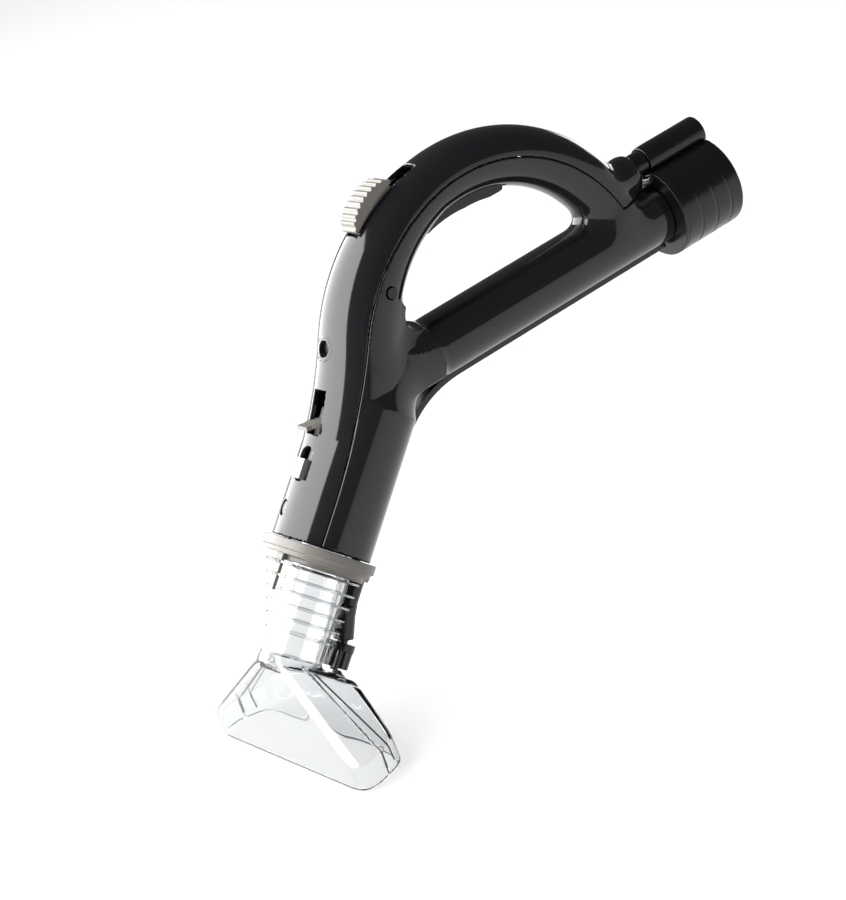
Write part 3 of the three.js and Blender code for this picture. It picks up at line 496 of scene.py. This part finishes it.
# ---- Materials -----------------------------------------------------------------------
def material(name, color, roughness, grain=400.0, grain_depth=0.02, wander=0.06, **extra):
    """A moulded plastic or metal: colour drift, roughness drift and a fine surface grain."""
    m = bpy.data.materials.new(name)
    m.use_nodes = True
    nodes, links = m.node_tree.nodes, m.node_tree.links
    shader = nodes["Principled BSDF"]
    place = nodes.new("ShaderNodeTexCoord")
    drift = nodes.new("ShaderNodeTexNoise")
    drift.inputs["Scale"].default_value = 18.0
    drift.inputs["Detail"].default_value = 4.0
    links.new(place.outputs["Object"], drift.inputs["Vector"])
    tone = nodes.new("ShaderNodeValToRGB")
    low = [c * (1 - wander) for c in color]
    high = [min(1, c * (1 + wander)) for c in color]
    tone.color_ramp.elements[0].position = 0.3
    tone.color_ramp.elements[0].color = (*low, 1)
    tone.color_ramp.elements[1].position = 0.7
    tone.color_ramp.elements[1].color = (*high, 1)
    links.new(drift.outputs["Fac"], tone.inputs["Fac"])
    links.new(tone.outputs["Color"], shader.inputs["Base Color"])
    rough = nodes.new("ShaderNodeMapRange")
    rough.inputs["To Min"].default_value = roughness * 0.8
    rough.inputs["To Max"].default_value = roughness * 1.25
    fine = nodes.new("ShaderNodeTexNoise")
    fine.inputs["Scale"].default_value = 90.0
    fine.inputs["Detail"].default_value = 6.0
    links.new(place.outputs["Object"], fine.inputs["Vector"])
    links.new(fine.outputs["Fac"], rough.inputs["Value"])
    links.new(rough.outputs["Result"], shader.inputs["Roughness"])
    grains = nodes.new("ShaderNodeTexNoise")
    grains.inputs["Scale"].default_value = grain
    grains.inputs["Detail"].default_value = 2.0
    links.new(place.outputs["Object"], grains.inputs["Vector"])
    bump = nodes.new("ShaderNodeBump")
    bump.inputs["Strength"].default_value = grain_depth
    bump.inputs["Distance"].default_value = 0.001
    links.new(grains.outputs["Fac"], bump.inputs["Height"])
    links.new(bump.outputs["Normal"], shader.inputs["Normal"])
    for key, value in extra.items():
        shader.inputs[key.replace("_", " ")].default_value = value
    return m


def absorb(look, color, density):
    """Makes a clear material darken with its thickness."""
    nodes, links = look.node_tree.nodes, look.node_tree.links
    volume = nodes.new("ShaderNodeVolumeAbsorption")
    volume.inputs["Color"].default_value = color
    volume.inputs["Density"].default_value = density
    links.new(volume.outputs["Volume"], nodes["Material Output"].inputs["Volume"])


GLOSS = material("gloss_anthracite", (0.010, 0.0102, 0.0118), 0.09, grain=120, grain_depth=0.008,
                 IOR=1.52)
BLACK = material("black_plastic", (0.004, 0.004, 0.0045), 0.22, grain=500, grain_depth=0.03)
SATIN = material("satin_grey", (0.17, 0.16, 0.145), 0.34, grain=900, grain_depth=0.05)
CLEAR = material("clear_plastic", (0.965, 0.97, 0.972), 0.025, grain=60, grain_depth=0.01, wander=0.01,
                 Transmission_Weight=1.0, IOR=1.49)
absorb(CLEAR, (0.72, 0.74, 0.75, 1), 170.0)
# Painted shade: the dark colour of the lines in the clear nozzle's wall, where its joint and flange edge
# look dark.
SEAM_SHADE_PAINT = material("seam_shadow", (0.045, 0.045, 0.047), 0.3, grain=60, grain_depth=0.01)
STEEL = material("plain_steel", (0.5, 0.5, 0.51), 0.3, grain=700, grain_depth=0.05, Metallic=1.0)
DARK_STEEL = material("screw_steel", (0.08, 0.08, 0.085), 0.35, grain=700, grain_depth=0.05, Metallic=1.0)
RUBBER = material("seal_rubber", (0.012, 0.012, 0.012), 0.7, grain=600, grain_depth=0.1)
WHITE = material("natural_plastic", (0.62, 0.6, 0.57), 0.4, grain=700, grain_depth=0.04)


def finish(piece, look, body, slot, *nodes):
    """Gives a new piece its material and body, and hides the CAD nodes that it stands for. The slot is
    not used.
    """
    piece.data.materials.clear()
    piece.data.materials.append(look)
    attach(piece, body)
    if nodes:
        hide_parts(*nodes)
    return piece


def around(node, margin=2.0):
    """The CAD box of a node in millimetres, with a margin."""
    low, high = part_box(node)
    return [c / MM - margin for c in low], [c / MM + margin for c in high]


# ---- Handle --------------------------------------------------------------------------
def handle():
    """The two glossy covers, which meet at the parting line."""
    step = 0.8
    for node, field in (("front_shell", front_cover), ("rear_shell", rear_cover)):
        low, high = around(node, 3.0)
        piece = surface(node + "_cover", field, low, high, step)
        finish(piece, GLOSS, "handle", "handle_gloss", node)


def back_strip():
    """The strip down the neck's back, round the elbow and along the strut's underside."""
    proud, sunk, half = 2.1, 1.0, 3.9
    reach = NECK_RADIUS + proud
    low = STRUT_Z - STRUT_RADIUS - proud
    start = on_neck(reach, 0, NECK_START + 1)
    corner = np.array([low + NECK_FOOT_X + reach / math.sin(LEAN), 0, low])
    before = corner + (start - corner) * 0.28
    after = np.array([corner[0] + 22, 0, low])
    path = [start + (before - start) * i / 8 for i in range(8)]
    bend = 14
    for i in range(bend + 1):
        t = i / bend
        path.append(before * (1 - t) ** 2 + corner * 2 * t * (1 - t) + after * t * t)
    end = np.array([STRUT_END_X - 2, 0, low])
    path += [after + (end - after) * i / 20 for i in range(1, 21)]
    ups = []
    for i in range(len(path)):
        along = path[min(i + 1, len(path) - 1)] - path[max(i - 1, 0)]
        along = along / np.linalg.norm(along)
        ups.append(np.array([-along[2], 0, along[0]]))
    edge = 0.8
    section = [(-half, proud + sunk), (-half, edge), (-half + edge * 0.3, edge * 0.3), (-half + edge, 0)]
    section += [(-half + 1.6, 0), (-half + 1.9, -0.35), (half - 1.9, -0.35), (half - 1.6, 0)]
    section += [(half - edge, 0), (half - edge * 0.3, edge * 0.3), (half, edge), (half, proud + sunk)]
    piece = sweep("back_strip_cover", path, section, ups)
    finish(piece, BLACK, "handle", "black_plastic", "back_strip")


def collar_field(x, y, z):
    """The collar: a lipped flange with a skirt round the neck and a boss for the pipe."""
    rear, s = neck_coordinates(x, z)
    top = NECK_START - 0.3
    low = top - COLLAR_THICK
    away = np.sqrt(rear * rear + y * y)
    lip = box_field(away - COLLAR_RADIUS, low + 2.2 - s, s - top)
    step = box_field(away - COLLAR_RADIUS + 1.1, low - s, s - top + 1)
    flange = join(both(lip, s - top, 0.8), step, 0.6)
    skirt = box_field(np.hypot(rear - TUBE_OFFSET, y) - SKIRT_RADIUS, low - 2.5 - s, s - low - 1)
    boss = box_field(np.hypot(rear - SPRAY_PIPE_OFFSET, y) - 6.2, low - 1.2 - s, s - top + 1)
    body = join(join(flange, skirt, 1.2), boss, 1.2)
    body = cut(body, np.hypot(rear - TUBE_OFFSET, y) - SPIGOT_RADIUS - 0.4)
    body = cut(body, both(np.hypot(rear - TUBE_OFFSET, y) - TUBE_RADIUS - 0.4, s - SPIGOT_START - 0.2))
    body = cut(body, np.hypot(rear - SPRAY_PIPE_OFFSET, y) - SPRAY_PIPE_RADIUS - 0.3)
    tongue = box_field(-rear - 19.2, rear + 16.6, np.abs(y) - 2.6)
    return cut(body, tongue, 0.3)


def collar():
    low, high = around("collar")
    piece = surface("collar_ring", collar_field, low, high, 0.55)
    finish(piece, SATIN, "handle", "satin_grey", "collar")


# ---- Nozzle --------------------------------------------------------------------------
def fan_planes():
    """The planes of the fan's hull: unit normals and distances, its open foot left out."""
    depth, width, rim = MOUTH
    corner, rear_corner = 7.0, 11.0
    outline = []
    for cx, cy, r, first in (
        (depth / 2, width / 2 - 3, rear_corner, 0), (-depth / 2, width / 2, corner, 90),
        (-depth / 2, -width / 2, corner, 180), (depth / 2, -width / 2 + 3, rear_corner, 270),
    ):
        mx, my = cx - math.copysign(r, cx), cy - math.copysign(r, cy)
        for i in range(6):
            a = math.radians(first + 90 * i / 5)
            outline.append((mx + r * math.cos(a), my + r * math.sin(a)))
    points = [(x, y, z) for x, y in outline for z in (0.0, rim)]
    for i in range(32):
        a = 2 * math.pi * i / 32
        rear = TUBE_OFFSET + TUBE_RADIUS * math.cos(a)
        points.append(on_neck(rear, TUBE_RADIUS * math.sin(a), TUBE_START))
    shoulder_x, shoulder_half, shoulder_z = SHOULDER
    points += [(shoulder_x, y, shoulder_z) for y in (-shoulder_half, shoulder_half)]
    made = bmesh.new()
    for p in points:
        made.verts.new([float(c) for c in p])
    bmesh.ops.convex_hull(made, input=made.verts)
    made.normal_update()
    middle = np.array([0, 0, 15.0])
    planes = {}
    for face in made.faces:
        normal = np.array(face.normal)
        distance = float(normal @ np.array(face.verts[0].co))
        if normal @ middle > distance:
            normal, distance = -normal, -distance
        if normal[2] > -0.95:
            planes[tuple(np.round([*normal, distance], 3))] = (normal, distance)
    made.free()
    normals = np.array([n for n, _ in planes.values()])
    return normals, np.array([d for _, d in planes.values()])


FAN_NORMALS, FAN_DISTANCES = fan_planes()


def fan(x, y, z):
    """The fan's outside, with its ridges softly rounded."""
    shape = np.broadcast_shapes(np.shape(x), np.shape(y), np.shape(z))
    points = np.stack([np.broadcast_to(c, shape).ravel() for c in (x, y, z)], 1).astype(np.float32)
    out = np.empty(len(points), np.float32)
    soft = 0.35
    chunk = 60000
    for i in range(0, len(points), chunk):
        value = (points[i:i + chunk] @ FAN_NORMALS.T.astype(np.float32) - FAN_DISTANCES) / soft
        top = value.max(1)
        out[i:i + chunk] = soft * (top + np.log(np.exp(value - top[:, None]).sum(1)))
    return out.reshape(shape)


def nozzle_body(x, y, z):
    """Both clear halves in one: fan, neck and spigot, hollow and open at both ends."""
    rear, s = neck_coordinates(x, z)
    away = np.hypot(rear - TUBE_OFFSET, y)
    skin = fan(x, y, z)
    neck = box_field(away - TUBE_RADIUS, TUBE_START - 4 - s, s - SPIGOT_START)
    spigot = box_field(away - SPIGOT_RADIUS, SPIGOT_START - 1 - s, s - TUBE_END)
    outside = np.minimum(join(skin, neck, 2.5), spigot)
    bore = box_field(away - TUBE_RADIUS + CLEAR_WALL, TUBE_START - 5 - s, s - 99)
    inside = np.minimum(skin + CLEAR_WALL, bore)
    inside = np.minimum(inside, box_field(away - SPIGOT_RADIUS + CLEAR_WALL - 0.4, 98 - s))
    return both(cut(outside, inside), -z)


def rear_region(x, z):
    """Negative behind the seam and below the neck."""
    _, s = neck_coordinates(x, z)
    return np.maximum(SEAM_X + SEAM_LEAN * z - x, s - TUBE_START + 1.5)


def nozzle():
    step = 0.75
    half_seam, edge = 0.12, 0.4

    def front_half(x, y, z):
        return both(nozzle_body(x, y, z), half_seam - rear_region(x, z), edge)

    def rear_half(x, y, z):
        return both(nozzle_body(x, y, z), rear_region(x, z) + half_seam, edge)

    low, high = around("nozzle_front")
    front = surface("nozzle_front_clear", front_half, low, high, step)
    finish(front, CLEAR, "nozzle", "clear_plastic", "nozzle_front")
    rear = surface("nozzle_rear_clear", rear_half, [-2, -62, -2], [25, 62, 46], step)
    finish(rear, CLEAR, "nozzle", "clear_plastic", "nozzle_rear")


def seam_points(lean, depth, sign):
    """Points down the fan's side where its skin meets a leaning plane, at a depth in the wall."""
    points = []
    for z in np.linspace(3.0, 43.0, 22):
        x = SEAM_X + SEAM_LEAN * z + lean * (1 - z / 60)
        near, far = 0.0, 62.0
        for _ in range(24):
            y = (near + far) / 2
            if float(fan(np.array([x]), np.array([y]), np.array([z]))[0]) < -depth:
                near = y
            else:
                far = y
        if near > 1:
            points.append(np.array([x, sign * near, z]))
    return points


def seams():
    """The joint of the two clear halves and its flange behind it, drawn as dark lines in the side wall:
    painted shade where they look dark through the clear plastic.
    """
    # Each line: how far behind the joint it starts, its depth in the wall and its radius.
    for index, (lean, depth, radius) in enumerate(((0.4, 1.1, 0.5), (6.0, 1.8, 0.42))):
        turns = [math.pi * i / 6 for i in range(12)]
        section = [(radius * math.cos(a), radius * math.sin(a)) for a in turns]
        for side, where in ((-1, "near"), (1, "far")):
            points = seam_points(lean, depth, side)
            line = sweep(f"seam_{index + 1}_{where}", points, section, [(1, 0, 0)] * len(points))
            finish(line, SEAM_SHADE_PAINT, "nozzle", "clear_plastic")


def fins():
    """Six eccentric discs round the neck, each a little smaller and further back."""
    sides = 120
    half = FIN_HALF
    inner = TUBE_RADIUS + 0.03
    up = on_neck(0, 0, 1) - on_neck(0, 0, 0)
    for index in range(FIN_COUNT):
        base = up * (FIN_FIRST - index * FIN_PITCH)
        radius = FIN_RADIUS - index * FIN_TAPER
        middle = TUBE_OFFSET + FIN_BACK + index * FIN_SHIFT
        points = []
        for i in range(sides):
            a = 2 * math.pi * i / sides
            near = on_neck(TUBE_OFFSET + inner * math.cos(a), inner * math.sin(a), 0)
            far = on_neck(middle + radius * math.cos(a), radius * math.sin(a), 0)
            way = (far - near) / np.linalg.norm(far - near)
            flat, shoulder = far - way * 0.5, far - way * 0.12
            ring = [
                near - up * half, flat - up * half, shoulder - up * half * 0.7, far,
                shoulder + up * half * 0.7, flat + up * half, near + up * half,
            ]
            points += [base + p for p in ring]
        n = 7
        faces = []
        for i in range(sides):
            k = (i + 1) % sides
            for j in range(n):
                m = (j + 1) % n
                faces.append([i * n + j, i * n + m, k * n + m, k * n + j])
        piece = mesh_piece(f"fin_{index + 1}", points, faces)
        finish(piece, CLEAR, "nozzle", "clear_plastic")


def pipe_at(s, n=SPRAY_PIPE_OFFSET):
    """A point of the spray pipe's axis, s up along the neck."""
    return on_neck(n, 0, s)


def pipe_field(x, y, z):
    nut = SPRAY_PIPE_OFFSET + NUT_SHIFT
    straight = rod(x, y, z, pipe_at(PIPE_KNEE), pipe_at(NECK_START - 4.6), SPRAY_PIPE_RADIUS)
    slant = rod(x, y, z, pipe_at(NUT[1] + 1.7, nut), pipe_at(PIPE_KNEE + 1.2), SPRAY_PIPE_RADIUS)
    stem = rod(x, y, z, pipe_at(NUT[0] + 2, nut), pipe_at(NUT[1] + 4, nut), 2.4)
    return np.minimum(join(straight, slant, 1.5), stem)


def nut_field(x, y, z):
    low, high, radius = NUT
    rear, s = neck_coordinates(x, z)
    rear = rear - SPRAY_PIPE_OFFSET - NUT_SHIFT
    away = np.hypot(rear, y)
    flutes = 0.22 * np.cos(12 * np.arctan2(y, rear))
    cap = box_field(away - radius + 0.5 - flutes, low - s, s - high + 0.6)
    rim = box_field(away - radius, high - 3.4 - s, s - high)
    body = join(both(cap, s - high, 0.6), rim, 0.4)
    return cut(body, np.maximum(away - 2.7, -s))


def jet_field(x, y, z):
    nut = SPRAY_PIPE_OFFSET + NUT_SHIFT
    top = pipe_at(NUT[0] - 1.8, nut + 1)
    tip = top + np.array([2.2, 0, -5.5])
    way = (tip - top) / np.linalg.norm(tip - top)
    body = rod(x, y, z, top - way * 0.4, tip, 1.5)
    collar_ring = rod(x, y, z, top + way * 1.6, top + way * 3.0, 1.9)
    stem = rod(x, y, z, pipe_at(NUT[0] - 1.2, nut), pipe_at(NUT[0] + 1.6, nut), 1.9)
    body = join(join(body, collar_ring, 0.4), stem, 0.4)
    return cut(body, rod(x, y, z, tip - way * 1.2, tip + way, 0.6), 0.2)


def spray_line():
    for node, field, step in (
        ("spray_pipe", pipe_field, 0.7), ("union_nut", nut_field, 0.4), ("jet_tip", jet_field, 0.22),
    ):
        low, high = around(node, 1.0)
        piece = surface(node + "_piece", field, low, high, step * (1))
        finish(piece, BLACK, "nozzle", "black_plastic", node)


# ---- Thumb slide, trigger, latch ---------------------------------------------------------
def thumb_slide():
    first, last, half, height, ribs = SLIDER
    run = BEND_LENGTH + ARC_RADIUS * (TURN - math.radians(last - 90))
    base = ARC_RADIUS + float(radius_at(run)) + 0.4
    points = []
    steps = ribs * 8
    for i in range(steps + 1):
        u = i / steps
        angle = math.radians(first + (last - first) * u)
        crown = height * math.sqrt(max(0.02, 1 - (2 * u - 1) ** 2))
        wave = math.cos(2 * math.pi * ribs * u)
        rib = 0.2 + 0.5 * math.copysign(abs(wave) ** 0.5, wave)
        points.append(on_arc(base + crown + rib, angle))
    for i in range(13):
        points.append(on_arc(base, math.radians(last + (first - last) * i / 12)))
    body = extruded("thumb_slide_body", points, half, 0.3)
    finish(body, SATIN, "thumb_slide", "satin_grey", "thumb_slide")
    middle = math.radians((first + last) / 2)
    stem = [on_arc(r, middle + math.radians(a)) for r, a in (
        (ARC_RADIUS + 9.1, -8), (base + 0.5, -8), (base + 0.5, 8), (ARC_RADIUS + 9.1, 8),
    )]
    finish(extruded("thumb_slide_stem", stem, half - 1.8, 0.2), SATIN, "thumb_slide", "satin_grey")


def trigger():
    inner = ARC_RADIUS - GRIP_RADIUS
    top = inner + 4.2
    first, last, drop = 70.0, 113.0, 3.4
    points = [on_arc(top, math.radians(first + (last - first) * i / 24)) for i in range(25)]
    points += [
        on_arc(top - 1, math.radians(last + 8)),
        on_arc(ARC_RADIUS + 2, PIN_ANGLE - math.radians(2)),
        on_arc(ARC_RADIUS - 1, PIN_ANGLE + math.radians(3.5)),
        on_arc(ARC_RADIUS - 6, PIN_ANGLE + math.radians(1)),
        on_arc(ARC_RADIUS - 9.8, math.radians(last + 9)),
        on_arc(inner + 0.8, math.radians(last)),
    ]
    for i in range(25):
        u = i / 24
        depth = drop * min(1, 0.35 + 1.3 * u) * math.sqrt(min(1, (1.02 - u) / 0.2))
        points.append(on_arc(inner - depth, math.radians(last - 2 + (first - last + 2) * u)))
    piece = extruded("trigger_lever", points, 4.9, 0.9)
    finish(piece, BLACK, "trigger", "black_plastic", "trigger")


def latch():
    """The finger tab is half an ellipse standing out of the slot."""
    front, rise = -18.8, math.radians(10)
    half_thick, half_wide, length = 0.8, 5.6, 10.4
    foot = on_neck(front, 0, LATCH_SLOT[0] + 7)
    out = np.array([-math.cos(rise), 0, math.sin(rise)])
    up = np.array([out[2], 0, -out[0]])
    points = []
    count = 28
    for side in (-half_thick, half_thick):
        for i in range(count + 1):
            a = math.pi * i / count
            reach = out * (0.4 + length * math.sin(a) ** 0.8)
            points.append(foot + reach + np.array([0, half_wide * math.cos(a), 0]) + up * side)
    tab = mesh_piece("latch_tab", points, prism_faces(count + 1))
    soften(tab, 0.45)
    finish(tab, SATIN, "latch", "satin_grey")


# ---- Hose connector -----------------------------------------------------------------------
def cuff_field(x, y, z):
    away = np.hypot(y, z - STRUT_Z)
    start, stop = STRUT_END_X + 0.3, CUFF_END_X
    wall = box_field(away - CUFF_RADIUS, start - x, x - stop)
    groove = 0.35 * np.exp(-((np.mod(x - 262, 9.0) - 4.5) / 0.5) ** 2)
    wall = both(wall + groove, x - stop, 1.2)
    wall = cut(wall, box_field(away - 18.5, start + 2.7 - x))
    wall = cut(wall, away - 11.5)
    return cut(wall, np.hypot(y, z - STUB_Z) - 7.5)


def hose_end():
    low, high = around("hose_cuff")
    cuff = surface("hose_cuff_piece", cuff_field, low, high, 0.65)
    finish(cuff, BLACK, "hose_end", "black_plastic", "hose_cuff")
    start, end = SLEEVE_START_X, CUFF_END_X
    bore, fit = 4.8, STUB_RADIUS + 0.3
    profile = rounded([
        (bore, start + 8), (bore, end), (SLEEVE_RADIUS, end), (SLEEVE_RADIUS, start + 4),
        (SLEEVE_RADIUS - 0.2, start), (fit, start), (fit, start + 10),
    ], 0.7)
    sleeve = lathe("solution_sleeve_piece", profile, (0, 0, STUB_Z), (1, 0, 0))
    finish(sleeve, BLACK, "hose_end", "black_plastic", "solution_sleeve")
    first, last, bore = FAIRING[0] + 4.3, SLEEVE_START_X + 8, 2.2
    profile = rounded([(bore, first), (STUB_RADIUS, first), (STUB_RADIUS, last), (bore, last)], 0.5)
    stub = lathe("inlet_stub_piece", profile, (0, 0, STUB_Z), (1, 0, 0))
    finish(stub, BLACK, "handle", "black_plastic", "inlet_stub")


def carried_nodes():
    """CAD nodes whose shape is right get their material and softly rounded edges."""
    looks = {
        "suction_duct": BLACK, "neck_seal": RUBBER, "pipe_seal": RUBBER, "latch_slide": SATIN,
        "latch_button": SATIN, "slide_plate": WHITE, "trigger_pin": BLACK, "trigger_spring": STEEL,
        "valve_body": WHITE, "valve_stem": WHITE, "feed_tube_upper": WHITE, "feed_tube_lower": WHITE,
        "feed_socket": BLACK, "screw_upper": DARK_STEEL, "screw_lower": DARK_STEEL,
    }
    thumbed = ("latch_slide", "latch_button")
    round_already = (
        "trigger_spring", "feed_tube_upper", "feed_tube_lower", "neck_seal", "suction_duct",
    )
    for node, look in looks.items():
        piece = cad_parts[node]
        piece.data.materials.clear()
        piece.data.materials.append(look)
        if node not in round_already:
            soften(piece, 0.5 if node in thumbed else 0.2, 2)


handle()
back_strip()
collar()
nozzle()
seams()
fins()
spray_line()
thumb_slide()
trigger()
latch()
hose_end()
carried_nodes()


# ---- Camera, lights, floor -------------------------------------------------------------
def studio():
    """The camera, the pale floor, the dim room and the two soft panels."""
    camera = bpy.data.cameras.new("camera")
    camera.lens = 116.0
    camera.sensor_width = 36.0
    camera.clip_end = 50
    view = bpy.data.objects.new("camera", camera)
    bpy.context.scene.collection.objects.link(view)
    right = Vector((0.75963, -0.56144, -0.32821))
    up = Vector((0.47557, 0.13533, 0.86920))
    back = right.cross(up)
    turn = Matrix((right, up, back)).transposed().to_4x4()
    view.matrix_world = Matrix.Translation(Vector((-457.8, -1029.0, 557.3)) * MM) @ turn
    bpy.context.scene.camera = view

    reach = 12.0 / MM
    corners = [(-reach, -reach, 0), (reach, -reach, 0), (reach, reach, 0), (-reach, reach, 0)]
    floor = mesh_piece("floor", corners, [[0, 1, 2, 3]])
    floor.location.z = -0.0015  # clear of the mouth's rim
    pale = material("pale_floor", (0.2, 0.2, 0.2), 0.9, grain=30, grain_depth=0.0, wander=0.005,
                    Emission_Color=(1, 1, 1, 1), Emission_Strength=0.72)
    floor.data.materials.append(pale)

    world = bpy.data.worlds.new("studio")
    world.use_nodes = True
    world.node_tree.nodes["Background"].inputs["Color"].default_value = (1, 1, 1, 1)
    world.node_tree.nodes["Background"].inputs["Strength"].default_value = 0.12
    bpy.context.scene.world = world
    bpy.context.scene.view_settings.view_transform = "Standard"

    middle = (cad_box[0] + cad_box[1]) / 2
    # Each panel stands at an angle round the object from the camera towards its left.
    for name, angle, rise, away, width, height, power in (
        ("left_panel", 88, 0.1, 0.95, 2.6, 1.7, 95.0),
        ("rear_panel", -150, 0.1, 1.2, 0.5, 1.4, 8.0),
    ):
        light = bpy.data.lights.new(name, "AREA")
        light.shape = "RECTANGLE"
        light.size = width
        light.size_y = height
        light.energy = power
        lamp = bpy.data.objects.new(name, light)
        bpy.context.scene.collection.objects.link(lamp)
        turned = math.radians(angle)
        way = back * math.cos(turned) - right * math.sin(turned) + up * rise
        lamp.matrix_world = Matrix.Translation(middle + way * away) @ Matrix((
            up.cross(way).normalized(), way.cross(up.cross(way)).normalized(), way.normalized(),
        )).transposed().to_4x4()
        lamp.visible_camera = False


studio()
